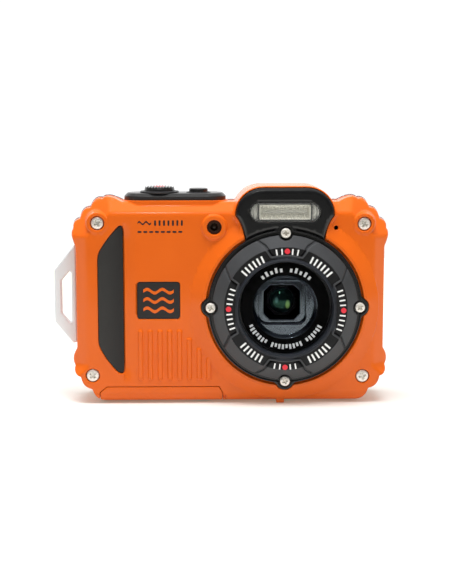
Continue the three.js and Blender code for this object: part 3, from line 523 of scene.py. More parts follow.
def paint_spot(material, centre, r0, r1, stretch, colour):
    """A soft spot of colour; stretch scales the distances along each axis."""
    r = object_distance(material.node_tree, centre, stretch)
    tint(material, ramp(material.node_tree, r, r0 * MM, r1 * MM, 1, 0), colour)


def dress_frame():
    """Gives every CAD node that stays its slot's material."""
    for entry in frame["record"]["materials"]:
        for node in entry.get("nodes", []):
            mesh = frame["nodes"][node].data
            mesh.materials.clear()
            mesh.materials.append(MATERIALS[entry["slot"]])


dress_frame()
frame["nodes"]["microphone"].data.materials[0] = MASK
paint_ring(BEZEL, LENS, 14.5, 17.2, BEZEL_FRONT_Y - 1, srgb(40, 43, 49))
paint_ring(BEZEL, LENS, 16.4, 20.1, BAND_Y - 0.1, srgb(22, 22, 24))
# Painted shade: the grip is darkened towards its right edge, where it sinks into the casing.
paint_spot(GRIP, (-31, 0, 0), 0, 8.5, (1, 0, 0), srgb(27, 25, 24))
# Painted reflection: a teal patch at left and a green patch at lower right on the front element stand in for
# what the glass mirrors.
paint_spot(LENS_GLASS, (OPTIC[0] - 1.7, 0, OPTIC[2] + 0.2), 0.2, 0.9, (1, 0, 0.6), srgb(84, 120, 116))
paint_spot(LENS_GLASS, (OPTIC[0] + 2.0, 0, OPTIC[2] - 1.3), 0.3, 1.0, (1, 0, 0.55), srgb(138, 176, 96))

# ---- Casing ----


def lobes(corner):
    points = []
    for i in range(1, len(corner), 2):
        (u0, z0), (u, z), (u1, z1) = corner[i - 1 : i + 2]
        points += bend((u0, z0), (2 * u - (u0 + u1) / 2, 2 * z - (z0 + z1) / 2), (u1, z1), 6)
    return points + [corner[-1]]


# The right half of the casing seen from the front, closed far to the left, where no mirrored point lies.
HALF_OUTLINE = [(-60, TOP_Z)] + lobes(TOP_CORNER) + lobes(BOTTOM_CORNER) + [(-60, BOTTOM_Z)]


def casing_distance(x, z):
    return outline_distance(HALF_OUTLINE, np.abs(x - BODY_X), z)


def room_distance(x, z):
    """The inside of a cover: a box with its corners cut off."""
    half, top, bottom = HALF_WIDTH - WALL, TOP_Z - WALL, BOTTOM_Z + WALL
    m = np.abs(x - BODY_X)
    side = both(m - half, z - top, bottom - z)
    upper = (m + z - (half + top - 11.0)) * CHAMFER
    lower = (m - z - (half - bottom - 7.6)) * CHAMFER
    return both(side, upper, lower)


def flash_outline(grow, bottom):
    half, top, r = 16.1 + grow, 71.6 + grow, 9.0 + grow
    neck = half - 3.4
    cx, cz = half - r, top - r
    right = bend((neck, bottom), (neck, 59.0), (half, cz)) + arc((cx, cz), r, 0, 90)
    return [(FLASH[0] + a, b) for a, b in mirrored(right)]


def flash_stadium(x, z, grow):
    half, r = 11.5 + grow, 3.1 + grow
    return rounded_rect(x, z, (FLASH[0] - half, FLASH[2] - r), (FLASH[0] + half, FLASH[2] + r), r)


def front_planes(x, y, z):
    """The front face with its broad chamfers: along the top, down the sides and across the top corners."""
    m = np.abs(x - BODY_X)
    depth = y - FRONT_Y
    top = (z - 63.55 - depth) / math.sqrt(2)
    side = (m - 47.12 - depth * 1.2235) / math.hypot(1, 1.2235) - 3.2 * (1 - smooth_step(z, 7.5, 13.5))
    corner = (0.83 * (m - 39.4 + z - 63.5) - depth) / math.sqrt(1 + 2 * 0.83**2)
    hollow = 0.75 * (1 - smooth_step(x, -31.9, -27.4)) * (1 - smooth_step(-x, 31.8, 32.0))
    face = -depth + hollow * smooth_step(z, 6.5, 13) * (1 - smooth_step(z, 54, 62))
    rolled = soft_max(face, BOTTOM_Z - z, 3.6)
    return soft_max(soft_max(soft_max(top, corner, 0.3), side, 0.4), rolled, 0.6)


GRIP_LEFT = -40.2


def grip_distance(x, z, grow):
    """The grip insert's outline, with rounded tips."""
    left, right = GRIP_LEFT, -31.6
    points = []
    for start, control, end, steps in (
        ((left, 47.6), (left, 49.6), (-39.5, 50.9), 4),
        ((-39.5, 50.9), (-37.6, 54.4), (-33.9, 58.5), 6),
        ((-33.9, 58.5), (-32.9, 59.6), (-32.2, 59.2), 5),
        ((-32.2, 59.2), (right, 58.9), (right, 57.2), 4),
        ((right, 12.2), (right, 10.1), (-32.7, 10.2), 5),
        ((-32.7, 10.2), (-33.6, 10.3), (-34.4, 11.2), 4),
        ((-34.4, 11.2), (-37.8, 15.2), (-39.5, 18.6), 6),
        ((-39.5, 18.6), (left, 20.0), (left, 21.8), 4),
    ):
        points += bend(start, control, end, steps)
    return outline_distance(points + [(left, 21.8)], x, z) - grow


RIB_TOPS = [24.8] * 5 + [22.0, 18.7, 15.7]
RIB_FIRST_X, RIB_PITCH, RIB_HALF, RIB_BOTTOM = -26.4, 3.22, 0.7, 8.1


def rib_distance(x, z):
    ribs = []
    for i, top in enumerate(RIB_TOPS):
        a = RIB_FIRST_X + RIB_PITCH * i
        ribs.append(rounded_rect(x, z, (a - RIB_HALF, RIB_BOTTOM), (a + RIB_HALF, top), 0.68))
    return either(*ribs)


DOOR_X = (-39.9, 0.65)
DOOR_FLAP_TOP, DOOR_PLATE_TOP, DOOR_BACK_Y, DOOR_INNER_Y = 5.6, 2.3, 3.9, -5.3


def pin_distance(x, z):
    return np.hypot(x - HINGE_X, z - HINGE_Z)


def door_region(x, y, z, grow):
    """Where the door is, before the casing's own surface cuts it."""
    x0, x1 = DOOR_X
    seen = [(x0, -3), (x0, 3.8), (x0 + 2.2, DOOR_FLAP_TOP), (x1 - 1.1, DOOR_FLAP_TOP), (x1, 3.6), (x1, -3)]
    side = [
        (-10, -3), (-10, DOOR_FLAP_TOP), (DOOR_INNER_Y, DOOR_FLAP_TOP), (DOOR_INNER_Y, DOOR_PLATE_TOP),
        (DOOR_BACK_Y, DOOR_PLATE_TOP), (DOOR_BACK_Y, -3),
    ]
    return both(outline_distance(seen, x, z), outline_distance(side, y, z)) - grow


def casing_skin(x, y, z):
    """The front cover's outer surface, with nothing cut into it."""
    outline = casing_distance(x, z)
    skin = soft_max(outline, front_planes(x, y, z), 0.4)
    for screw in COVER_SCREWS[:2]:
        seat = off_axis(x, z, screw) - 3.5 - 0.14 * (y - FRONT_Y)
        skin = soft_min(skin, soft_max(soft_max(seat, FRONT_Y - 0.15 - y, 0.3), outline, 0.4), 0.35)
    r = off_axis(x, z, LENS)
    collar = [(0, 0), (31.0, 0), (31.0, -7), (27.0, -9.15), (26.2, -9.15), (25.9, -7.9), (0, -7.9)]
    skin = soft_min(skin, outline_distance(collar, r, y) - 0.1, 0.3)
    hump = outline_distance(flash_outline(0.6, 50), x, z)
    skin = soft_min(skin, soft_max(hump, -8.4 - y, 0.5), 0.8)
    lamp = off_axis(x, z, LAMP) - 4.1
    skin = soft_min(skin, soft_max(lamp, -7.75 - y, 0.5), 0.4)
    skin = soft_min(skin, soft_max(rib_distance(x, z), -7.65 - y, 0.5), 0.35)
    panel = rounded_rect(x, y, (-32.3, -4.95), (2.5, 9.5), 6.6)
    ledge = soft_max(panel, both(z - 67.3, 60 - z), 0.15)
    return soft_min(skin, ledge, 0.3)


def feet(x, y, z):
    front = cuboid(x, y, z, (18.4, -7.3, 0), (21.3, -4.2, 3.7))
    return either(front, cuboid(x, y, z, (41.9, -2, 0), (43.3, FRONT_SEAM_Y, 2)))


PANEL_FRONT_Y = -4.2  # the top panel stands behind a thin ledge of the casing


def panel_plan(x, y, grow):
    low, high = box("top_panel")
    front_left = (low[0] - grow, PANEL_FRONT_Y - grow)
    return rounded_rect(x, y, front_left, (high[0] + grow, high[1] + grow), 6 + grow)


def panel_well(x, y, z, grow):
    return both(panel_plan(x, y, grow), 65.3 - z)


def flash_room(x, y, z, front, back):
    """The room behind the flash, inside the hump."""
    return cuboid(x, y, z, (FLASH[0] - 11, front, 58), (FLASH[0] + 11, back, 69.3))


def opening_for(node, x, y, z, side, end, top):
    """An opening in the underside round a node, with room at its sides and its ends."""
    low, high = box(node)
    return cuboid(x, y, z, (low[0] - side, low[1] - end, 0), (high[0] + side, high[1] + end, top))


def front_cover(x, y, z):
    cover = soft_min(casing_skin(x, y, z), feet(x, y, z) + 0.15, 0.15)
    cover = soft_max(cover, y - FRONT_SEAM_Y, 0.2)
    room = both(room_distance(x, z), FRONT_Y + WALL - y)
    floor_top = 5.0
    door_bay = both(x - 2.85, z - floor_top)  # stays solid, with openings cut into it below
    thick_front = 0.2 + FRONT_Y + 2 * WALL - y - 20 * (z > floor_top)  # only near the bottom
    room = both(room, -door_bay, thick_front)
    room = either(room, flash_room(x, y, z, FRONT_Y, 9))
    bosses = [off_axis(x, z, screw) for screw in COVER_SCREWS]
    cover = carve(cover, carve(room, *(r - BOSS_R for r in bosses)))
    for r in bosses:
        cover = soft_cut(cover, both(r - 2.3, y + 5.2), 0.18)
        cover = carve(cover, r - SCREW_HOLE_R)
    r = off_axis(x, z, LENS)
    mouth = both(either(r - 25.6, flash_seat(x, z)), y + 7.9)
    cover = soft_cut(cover, mouth, 0.25)
    cover = carve(cover, r - 15, both(flash_stadium(x, z, 0.3), y))
    cover = soft_cut(cover, both(grip_distance(x, z, 0.07), y + 5.9), 0.12)
    cover = soft_cut(cover, both(badge_distance(x, z, 0.05), y + 6.2), 0.04)
    cover = soft_cut(cover, both(off_axis(x, z, LAMP) - 2.4, y), 0.2)
    cover = soft_cut(cover, both(off_axis(x, z, MIC) - 0.72, y), 0.15)
    cover = carve(cover, panel_well(x, y, z, 0.1))
    cover = soft_cut(cover, door_region(x, y, z, SEAM), 0.1)
    notch = cuboid(x, y, z, (DOOR_X[1], -12, -1), (DOOR_X[1] + 1.2, -5.4, 2.6))
    hinge_well = both(pin_distance(x, z) - 1.65, y - 4.2)
    stowed = [opening_for(node, x, y, z, 0.25, 0.2, 7) for node in ("battery", "memory_card", "usb_socket")]
    gasket_seat = opening_for("door_gasket", x, y, z, 0.3, 0.3, 3.5)
    nut = middle("tripod_nut")
    nut_seat = both(off_upright(x, y, nut) - 4.3, z - 9)
    loop_slot = cuboid(x, y, z, (-49, 2.1, 29.7), (-44, 4.9, 40.3))
    return carve(cover, notch, hinge_well, *stowed, gasket_seat, nut_seat, loop_slot)


def flash_seat(x, z):
    seat = outline_distance(flash_outline(0.12, 50), x, z)
    for screw in BEZEL_SCREWS:
        seat = soft_min(seat, off_axis(x, z, screw) - 3.15, 0.5)
    return seat


def badge_distance(x, z, grow):
    return box_outline("front_badge", x, z, grow, 0.9)


replace_node("front_cover", "shell_front", front_cover, 0.25, "orange_shell", ORANGE)


def rear_cover(x, y, z):
    m = np.abs(x - BODY_X)
    outline = casing_distance(x, z)
    side = (m - 51.2 + (y - 11.0)) * CHAMFER
    top = (z - TOP_Z + (y - 11.2)) * CHAMFER
    bottom = (BOTTOM_Z - z + (y - 10.2)) * CHAMFER
    back = soft_max(y - REAR_Y, side, 0.8)
    cover = soft_max(soft_max(back, top, 0.8), bottom, 0.8)
    cover = soft_max(outline, cover, 0.5)
    hump = soft_max(outline_distance(flash_outline(0.6, 53), x, z), y - REAR_Y, 0.5)
    hump = soft_max(hump, (z - 72.2 + (y - 11.6)) * CHAMFER, 0.6)
    cover = soft_min(cover, hump, 0.8)
    for foot_x, half in ((-38.45, 1.25), (42.6, 0.7)):
        cover = either(cover, cuboid(x, y, z, (foot_x - half, REAR_SEAM_Y, 0), (foot_x + half, 11, 1.5)))
    cover = soft_max(cover, REAR_SEAM_Y - y, 0.2)
    room = both(room_distance(x, z), y - REAR_Y + WALL)
    room = either(room, flash_room(x, y, z, 0, REAR_Y - WALL))
    for screw in COVER_SCREWS:
        r = off_axis(x, z, screw)
        room = carve(room, r - BOSS_R)
        cover = carve(cover, both(r - SCREW_HOLE_R, y - 11.4))
    cover = carve(cover, room)
    seat = box_outline("screen_window", x, z, 0.12, 2.3)
    cover = soft_cut(cover, both(seat, 12.0 - y), 0.2)
    low, high = box("screen_window")
    cover = carve(cover, cuboid(x, y, z, (low[0] + 3, 9, low[2] + 2.8), (high[0] - 3, 14, high[2] - 2.8)))
    for name in ROUND_KEYS:
        c = middle(name)
        cover = soft_cut(cover, both(off_axis(x, z, c) - radius(name) - 0.22, 10 - y), 0.3)
    for name in FLAT_KEYS:
        cover = soft_cut(cover, both(key_outline(name, x, z, 0.25), 10 - y), 0.3)
    return carve(cover, panel_well(x, y, z, 0.1))


def key_outline(name, x, z, grow):
    corner = 2.4 if name == "zoom_rocker" else 1.2
    return box_outline(name, x, z, grow, corner + grow)


replace_node("rear_cover", "shell_rear", rear_cover, 0.3, "orange_shell", ORANGE)


def cover_gasket(x, y, z):
    """The seal between the covers stands a hair proud of them."""
    outline = casing_distance(x, z) - 0.28 * smooth_step(z, 40, 56)
    hump = outline_distance(flash_outline(0.6, 53), x, z) + 0.1
    ring = both(either(outline, hump), slab(y, 5.1, 6.1) + 0.1) - 0.1
    return carve(ring, room_distance(x, z), panel_well(x, y, z, 0.1), flash_room(x, y, z, 0, 12))


# The seal takes the pale grey of its painted highlight.
replace_node(
    "cover_gasket", "seal_line", cover_gasket, 0.2, "seal_rubber", SEAL_PAINTED_HIGHLIGHT, margin=0.5, adaptivity=0.01
)


def battery_door(x, y, z):
    door = soft_max(casing_skin(x, y, z), door_region(x, y, z, 0.0), 0.12)
    door = both(door, BOTTOM_Z - z)
    corner = cuboid(x, y, z, (-41, -2, -1), (HINGE_X, 9, 5))
    barrel = both(pin_distance(x, z) - 1.35, slab(y, -2, DOOR_BACK_Y))
    door = either(carve(door, corner), barrel)
    door = carve(door, both(pin_distance(x, z) - 0.8, -4.9 - y))
    return soft_cut(door, cuboid(x, y, z, (-10.2, -3.3, -1), (-3.4, 1.7, 1.5)), 0.15)


replace_node("battery_door", "door_shell", battery_door, 0.2, "orange_shell", ORANGE, "door")


# ---- Front trim ----


def front_grip(x, y, z):
    """The grip is crowned at its left edge and sinks towards its right edge."""
    across = np.clip((x - GRIP_LEFT) / 8.3, 0, 1)
    surface = -7.35 + 0.1 * across + 1.15 * across**3
    pad = soft_max(grip_distance(x, z, -0.03), surface - y, 0.35)
    return both(pad, y + 6.05)


def front_badge(x, y, z):
    back = box("front_badge")[1][1]
    return soft_max(badge_distance(x, z, -0.03), slab(y, FRONT_Y - 0.02, back), 0.08)


replace_node("front_grip", "grip_pad", front_grip, 0.16, "grip_rubber", GRIP, margin=0.5)
replace_node("front_badge", "badge_plate", front_badge, 0.1, "black_plastic", PRINT_DARK)


def wave(x0, x1, z, height, width, turns):
    """A wavy band drawn as one outline."""
    t = np.linspace(0, 1, 12 * turns + 1)
    xs = x0 + (x1 - x0) * t
    zs = z + height * np.sin(2 * math.pi * turns * t)
    lower = [(a, b - width / 2) for a, b in zip(xs, zs)]
    return lower + [(a, b + width / 2) for a, b in zip(xs[::-1], zs[::-1])]


def bar(cx, cz, length, width, turn=0.0):
    """A short bar with rounded ends, turned by an angle in radians."""
    half = length / 2 - width / 2
    points = arc((half, 0), width / 2, -90, 90, 4) + arc((-half, 0), width / 2, 90, 270, 4)
    c, s = math.cos(turn), math.sin(turn)
    return [(cx + a * c - b * s, cz + a * s + b * c) for a, b in points]


waves = [wave(BADGE[0] - 5, BADGE[0] + 5, BADGE[2] + dz, 0.62, 1.05, 2) for dz in (-3.1, 0.0, 3.1)]
place(stamps("badge_waves", waves, FRONT_Y - 0.05, FRONT_Y), "casing", "orange_shell", ORANGE)

rows = [wave(-27.0, -22.6, 60.15, 0.42, 0.55, 2)]
rows += [bar(-21.3 + 1.45 * i, 60.15, 1.9, 0.62, math.pi / 2) for i in range(7)]
rows += [bar(-26.4 + 1.9 * i, 57.25, 1.4, 0.6) for i in range(8)]
place(stamps("depth_marks", rows, FRONT_Y - 0.03, FRONT_Y + 0.1), "casing", "black_plastic", PRINT_DARK)


def lamp_lens(x, y, z):
    r = off_axis(x, z, LAMP)
    tube = both(slab(r, 1.25, 2.32), slab(y, -6.6, -3.7))
    bulb = np.sqrt(r**2 + (y + 3.6) ** 2) - 1.7
    return either(tube, both(bulb, y + 3.7))


lamp = mould("lamp_lens", lamp_lens, LAMP - [3, 2.5, 3], LAMP + [3, 2, 3], 0.08)
place(lamp, "casing", "lens_glass", LAMP_GLASS, "focus_lamp_lens")


def screw(name, node, r, head_front, turn):
    """A pan-head screw with a cross recess."""
    c = middle(node)
    back = box(node)[1][1]
    dome = 0.28

    def field(x, y, z):
        a, b = x - c[0], z - c[2]
        across = np.hypot(a, b)
        front = head_front + dome * (across / r) ** 2
        head = soft_max(soft_max(across - r, front - y, 0.3), y - head_front - 1.3, 0.1)
        s, t = a * math.cos(turn) + b * math.sin(turn), b * math.cos(turn) - a * math.sin(turn)
        deep = (y - head_front) * 0.4
        across_slot, along_slot = 0.2 * r - deep * 0.3, 0.62 * r - deep
        slots = [both(np.abs(u) - across_slot, np.abs(v) - along_slot) for u, v in ((s, t), (t, s))]
        head = soft_cut(head, both(either(*slots), y - head_front - 1.25), 0.06)
        return either(head, both(across - 1, slab(y, head_front + 1, back)))

    low = np.array((c[0] - r, head_front, c[2] - r))
    high = np.array((c[0] + r, back, c[2] + r))
    return place(mould(name, field, low, high, 0.07), "casing", "screw_steel", STEEL, node)


for i, turn in enumerate((0.5, 1.1, 0.25, 0.8), 1):
    screw(f"cover_screw_head_{i}", f"cover_screw_{i}", 2.05, -7.0, turn)
for i, turn in enumerate((0.7, 0.1, 1.2, 0.4), 1):
    screw(f"bezel_screw_head_{i}", f"bezel_screw_{i}", 1.6, -11.1, turn)


# ---- Lens bezel and flash housing ----


def plate(x, y, z):
    r = off_axis(x, z, LENS)
    housing = outline_distance(flash_outline(0, 50), x, z)
    face = soft_max(soft_max(housing, 25.5 - r, 0.25), PLATE_FACE_Y - y, 1.3)
    ears = either(*(off_axis(x, z, screw) - 3.0 for screw in BEZEL_SCREWS))
    rim = soft_max(soft_min(r - 25.3, ears, 1.0), PLATE_FACE_Y - y, 0.3)
    rim = either(rim, both(housing, PLATE_FACE_Y + 0.9 - y))
    body = both(either(face, rim), y - PLATE_BACK_Y)
    body = carve(body, r - 14.3, both(r - 15.3, y + 8.75))
    body = soft_cut(body, both(slab(r, 23.6, 24.75), y + 8.9), 0.2)  # a moat behind the bezel's edge
    for screw in BEZEL_SCREWS:
        rs = off_axis(x, z, screw)
        body = soft_cut(body, both(rs - 2.2, y + 8.9), 0.25)
        body = carve(body, rs - SCREW_HOLE_R)
    return soft_cut(body, flash_stadium(x, z, 0.12), 0.15)


replace_node("flash_and_lens_plate", "lens_plate", plate, 0.2, "black_plastic", BLACK)

# Edges of the raised plates, as (offset to the side, distance from the bezel's axis).
TALL_PLATE = mirrored([(4.7, 17.3), (6.9, 20.3), (10.2, 22.4), (11.6, 27)])
WIDE_PLATE = mirrored([(7.7, 16.0), (9.2, 18.2), (13.9, 20.1), (19, 27)])
DIAL_TURN = math.radians(-0.8)


def bezel_plates(a, b):
    """Distance to the nearest of the four raised plates, seen from the front."""
    c, s = math.cos(DIAL_TURN), math.sin(DIAL_TURN)
    a, b = a * c + b * s, b * c - a * s
    tall = [outline_distance(TALL_PLATE, a, t) for t in (b, -b)]
    wide = [outline_distance(WIDE_PLATE, b, t) for t in (a, -a)]
    return either(*tall, *wide)


def bezel(x, y, z):
    a, b = x - LENS[0], z - LENS[2]
    r = np.hypot(a, b)
    cone = -10.4 - (24.0 - r) * 0.66
    plates = bezel_plates(a, b)
    ditch = 0.75 * np.exp(-((plates / 0.3) ** 2)) + 0.2 * smooth_step(-plates, -0.1, 0.25)
    surface = np.maximum(cone, BEZEL_FRONT_Y + 0.5) + ditch * smooth_step(r, 17.4, 18.0)
    fences = 0.62 - np.abs(plates - 0.3)
    band = soft_max(soft_max(slab(r, 16.5, 20.1), fences, 0.15), y - BAND_Y, 0.1)
    body = soft_max(r - BEZEL_R, surface - y, 0.3)
    lip = soft_max(r - 16.0 - 0.65 * (y - BEZEL_FRONT_Y), BEZEL_FRONT_Y - y, 0.2)
    body = soft_cut(body, band, 0.12)
    body = either(body, both(lip, y + 12))
    mouth = r - 15.25 - 0.35 * np.clip(-12.6 - y, 0, 2)
    body = soft_cut(body, mouth, 0.12)
    for screw in BEZEL_SCREWS:
        body = soft_cut(body, off_axis(x, z, screw) - 2.35, 0.3)
    return both(body, y + 9.8)


replace_node("bezel_ring", "bezel_shell", bezel, 0.13, "bezel_grey", BEZEL)


DIAL = (LENS[0] + 0.1, LENS[2] - 0.35)  # the printed marks sit a little low on the ring


def dial_point(degrees, r):
    """A point on the bezel at an angle anticlockwise from +X, with the dial's own small turn."""
    t = math.radians(degrees) + DIAL_TURN
    return DIAL[0] + r * math.cos(t), DIAL[1] + r * math.sin(t)


def square_tick(degrees, r0, r1, width):
    (a0, b0), (a1, b1) = dial_point(degrees, r0), dial_point(degrees, r1)
    u, v = (b0 - b1) / (r1 - r0) * width / 2, (a1 - a0) / (r1 - r0) * width / 2
    return [(a0 - u, b0 - v), (a1 - u, b1 - v), (a1 + u, b1 + v), (a0 + u, b0 + v)]


ticks = []
for quarter, count, first, pitch, r0, r1, width in (
    (90, 2, 5.2, 5.2, 18.1, 20.0, 0.48),
    (270, 2, 5.2, 5.2, 18.0, 19.8, 0.48),
    (0, 4, 5.3, 4.9, 17.6, 19.5, 0.48),
    (180, 4, 5.3, 4.9, 17.6, 19.5, 0.48),
    (0, 6, 40.6, 4.68, 16.95, 19.35, 0.6),
    (180, 6, 40.6, 4.68, 16.95, 19.35, 0.6),
):
    for side in (-1, 1):
        for i in range(count):
            ticks.append(square_tick(quarter + side * (first + pitch * i), r0, r1, width))
place(stamps("dial_ticks", ticks, BAND_Y - 0.08, BAND_Y + 0.2), "casing", "bezel_grey", PRINT_WHITE)
dot_places = ((0, 18.75), (90, 19.15), (180, 18.75), (270, 19.0))
dots = [arc(dial_point(a, r), 0.88, 0, 345, 23) for a, r in dot_places]
place(stamps("dial_dots", dots, BAND_Y - 0.09, BAND_Y + 0.2), "casing", "bezel_grey", PRINT_RED)


# ---- Lens ----

low, high = box("lens_window")
rim = radius("lens_window") - 0.1
profile = [(0.001, low[1]), (rim - 0.4, low[1]), (rim, low[1] + 0.25), (rim, high[1]), (0.001, high[1])]
place(turned("window_pane", profile, LENS), "casing", "lens_glass", WINDOW_GLASS, "lens_window")

MASK_Y = box("window_mask")[0][1]


def window_mask(x, y, z):
    r = off_axis(x, z, LENS)
    return soft_max(slab(r, 10.6, 14.7), slab(y, MASK_Y, MASK_Y + 0.3), 0.08)


replace_node("window_mask", "mask_ring", window_mask, 0.1, "black_plastic", MASK, adaptivity=0.05)

# Two runs of plain blocks: the upper one with one gap, the lower one with two.
marks = []
for i in (n for n in range(11) if n != 5):
    marks.append(square_tick(127 - 7.4 * i, 12.0, 13.7 if i % 2 else 13.2, 0.82))
for i in (n for n in range(24) if n not in (7, 17)):
    marks.append(square_tick(208 + 5.4 * i, 12.0, 13.6 if i % 3 else 13.2, 0.7))
place(stamps("mask_marks", marks, MASK_Y - 0.1, MASK_Y + 0.1), "casing", "black_plastic", PRINT_WHITE)


def octagon(a, b, w, h, c):
    q = (np.abs(a), np.abs(b))
    return both(q[0] - w, q[1] - h, (q[0] + q[1] - (w + h - c)) * CHAMFER)


def barrel_frame(x, z):
    """The eight-sided opening in front of the lens, a little below its axis."""
    return octagon(x - OPTIC[0], z - OPTIC[2] + 0.3, 6.1, 5.75, 2.1)


def barrel_core(x, y, z, grow):
    """The matt black middle of the lens barrel, inside its eight-sided frame."""
    return both(barrel_frame(x, z) - 0.1 - grow, -4.6 - y)


def barrel(x, y, z):
    a, b = x - OPTIC[0], z - OPTIC[2]
    r = off_axis(x, z, LENS)
    ro = np.hypot(a, b)
    body = both(r - 14, slab(y, -8.7, -2.4))
    body = soft_cut(body, both(r - 12.2, y + 8.1), 0.2)
    body = soft_cut(body, both(r - 10.5 + 0.5 * (y + 8.1), y + 6.4), 0.3)
    square = rounded_rect(a, b, (-7.9, -7.3), (7.9, 6.8), 3.0)
    body = soft_cut(body, both(square + 0.25 * (y + 6.4), y + 5.0), 0.25)
    body = soft_cut(body, both(barrel_frame(x, z) + 0.35 * (y + 5.0), y + 3.9), 0.15)
    for r0, depth in ((5.6, -3.6), (5.0, -3.3), (4.6, -2.95)):
        body = soft_cut(body, both(ro - r0, y - depth), 0.08)
    return carve(body, ro - 4.35)


def baffle(x, y, z):
    return carve(barrel(x, y, z), barrel_core(x, y, z, 0.03))


def core(x, y, z):
    return both(barrel(x, y, z), barrel_core(x, y, z, 0))


replace_node("lens_baffle", "baffle_shell", baffle, 0.13, "black_plastic", BAFFLE)
core_piece = mould("barrel_core", core, OPTIC - [7, 0, 7], OPTIC + [7, 4, 7], 0.1)
place(core_piece, "casing", "black_plastic", CORE)


def front_lens(x, y, z):
    r = off_axis(x, z, OPTIC)
    ball = np.sqrt(r**2 + (y - 2.6) ** 2) - 6.6
    return soft_max(soft_max(ball, r - 4.2, 0.1), y + 1.0, 0.1)


replace_node("front_lens", "front_element", front_lens, 0.08, "lens_glass", LENS_GLASS)


# ---- Flash ----


def flash_pane(x, y, z):
    pane = soft_max(flash_stadium(x, z, 0.0), slab(y, -9.62, -8.9), 0.2)
    inner = flash_stadium(x, z, -0.75)
    return soft_cut(pane, both(inner, y + 9.45), 0.1)


replace_node(
    "flash_window", "flash_pane", flash_pane, 0.1, "clear_plastic", CLEAR, margin=0.1, adaptivity=0.01
)


def flash_ends(x, y, z):
    """Ribbed blocks beside the reflector, seen through the pane."""
    a = np.abs(x - FLASH[0])
    face = -8.35 + 0.28 * np.cos(2 * math.pi * (a - 9.4) / 1.05) + 0.1 * (z - FLASH[2]) ** 2
    return both(flash_stadium(x, z, -0.45), 9.0 - a, face - y, y + 6.45)


ends_low = np.array((FLASH[0] - 11.5, -8.9, FLASH[2] - 3))
ends_high = np.array((FLASH[0] + 11.5, -6.4, FLASH[2] + 3))
blocks = mould("flash_end_blocks", flash_ends, ends_low, ends_high, 0.11)
place(blocks, "casing", "clear_plastic", END_CAP)


def flash_liner(x, y, z):
    """A dark frame inside the flash's slot."""
    slot = both(flash_stadium(x, z, 0.2), slab(y, -8.8, -6.1))
    hole = both(flash_stadium(x, z, -0.22), y + 6.3)
    reflector = cuboid(x - FLASH[0], y, z - FLASH[2], (-8.38, -9, -2.48), (8.38, 0, 2.48))
    return carve(slot, hole, reflector)


margin = np.array((0.5, 0.4, 0.5))
liner = mould("flash_liner", flash_liner, ends_low - margin, ends_high + margin, 0.1)
place(liner, "casing", "black_plastic", MASK)


def flash_reflector(x, y, z):
    a, b = x - FLASH[0], z - FLASH[2]
    outer = soft_max(rounded_rect(a, b, (-8.35, -2.45), (8.35, 2.45), 0.4), slab(y, -8.5, -2.6), 0.12)
    bowl = both(np.abs(a) - 7.95, np.abs(b) - 2.1 + 0.26 * (y + 8.4), y + 4.0)
    ridges = 0.12 * np.cos(2 * math.pi * a / 0.75)
    return soft_cut(outer, bowl + ridges, 0.1)


replace_node("flash_reflector", "reflector_shell", flash_reflector, 0.1, "reflector_metal", MIRROR)


# ---- Top panel, shutter release and power button ----


def top_panel(x, y, z):
    low, high = box("top_panel")
    top = high[2] - 0.3
    bevel = (panel_plan(x, y, 0) + z - top + 1.05) * CHAMFER
    body = soft_max(soft_max(panel_plan(x, y, 0), z - top, 0.1), bevel, 0.15)
    body = both(body, low[2] - z)
    for c, r in ((SHUTTER, 5.4), (POWER, 3.5)):
        across = off_upright(x, y, c)
        body = carve(body, both(across - r, 68.0 - z), across - r / 2)
    return body


replace_node("top_panel", "top_deck", top_panel, 0.18, "panel_plastic", PANEL)


COLLAR_BOTTOM = 69.5


def collar(node, c, inner):
    low, high = box(node)
    outer = radius(node)

    def field(x, y, z):
        r = off_upright(x, y, c)
        return soft_max(slab(r, inner, outer), slab(z, COLLAR_BOTTOM, high[2] - 0.75), 0.25)

    ring = mould(node.replace("_", "_ring_"), field, (low[0], low[1], COLLAR_BOTTOM), high, 0.1)
    place(ring, "casing", "seal_rubber", SEAL, node)


collar("shutter_collar", SHUTTER, 5.25)
collar("power_collar", POWER, 3.35)

SHUTTER_TOP = box("shutter_button")[1][2]


def ridged_crown(x, r):
    """Height of the shutter's crown: straight ridges over a slight dome."""
    pitch, ridge_height, dome = 0.95, 0.45, 0.22
    ridge = np.abs(((x - SHUTTER[0]) / pitch) % 1 - 0.5) * 2
    return SHUTTER_TOP - ridge_height * (1 - ridge) - dome * (r / 4.7) ** 2


def shutter_cap(x, y, z):
    r = off_upright(x, y, SHUTTER)
    rim = r - 4.95 + 0.3 * np.clip(z - SHUTTER_TOP + 1.2, 0, 2)
    cap = soft_max(soft_max(rim, z - ridged_crown(x, r), 0.06), 70.0 - z, 0.1)
    return either(cap, both(r - 2.3, slab(z, 66.7, 70.5)))


replace_node("shutter_button", "shutter_cap", shutter_cap, 0.09, "panel_plastic", PANEL, "shutter")


def shutter_dot(x, y, z):
    r = off_upright(x, y, SHUTTER)
    return soft_max(soft_max(r - 1.9, z - ridged_crown(x, r) - 0.05, 0.05), SHUTTER_TOP - 1.2 - z, 0.05)


dot_low = (SHUTTER[0] - 2, SHUTTER[1] - 2, SHUTTER_TOP - 1.2)
dot_high = (SHUTTER[0] + 2, SHUTTER[1] + 2, SHUTTER_TOP + 0.1)
place(mould("shutter_dot", shutter_dot, dot_low, dot_high, 0.07), "shutter", "red_plastic", RED)


def power_cap(x, y, z):
    r = off_upright(x, y, POWER)
    top = box("power_button")[1][2]
    cap = soft_max(soft_max(r - 3.1, z - top + 0.25 * (1 - smooth_step(r, 0, 3.1)), 0.4), 69.2 - z, 0.1)
    return either(cap, both(r - 1.7, slab(z, 66.2, 70)))


replace_node("power_button", "power_cap", power_cap, 0.1, "panel_plastic", PANEL, "power")


# ---- Strap loop ----

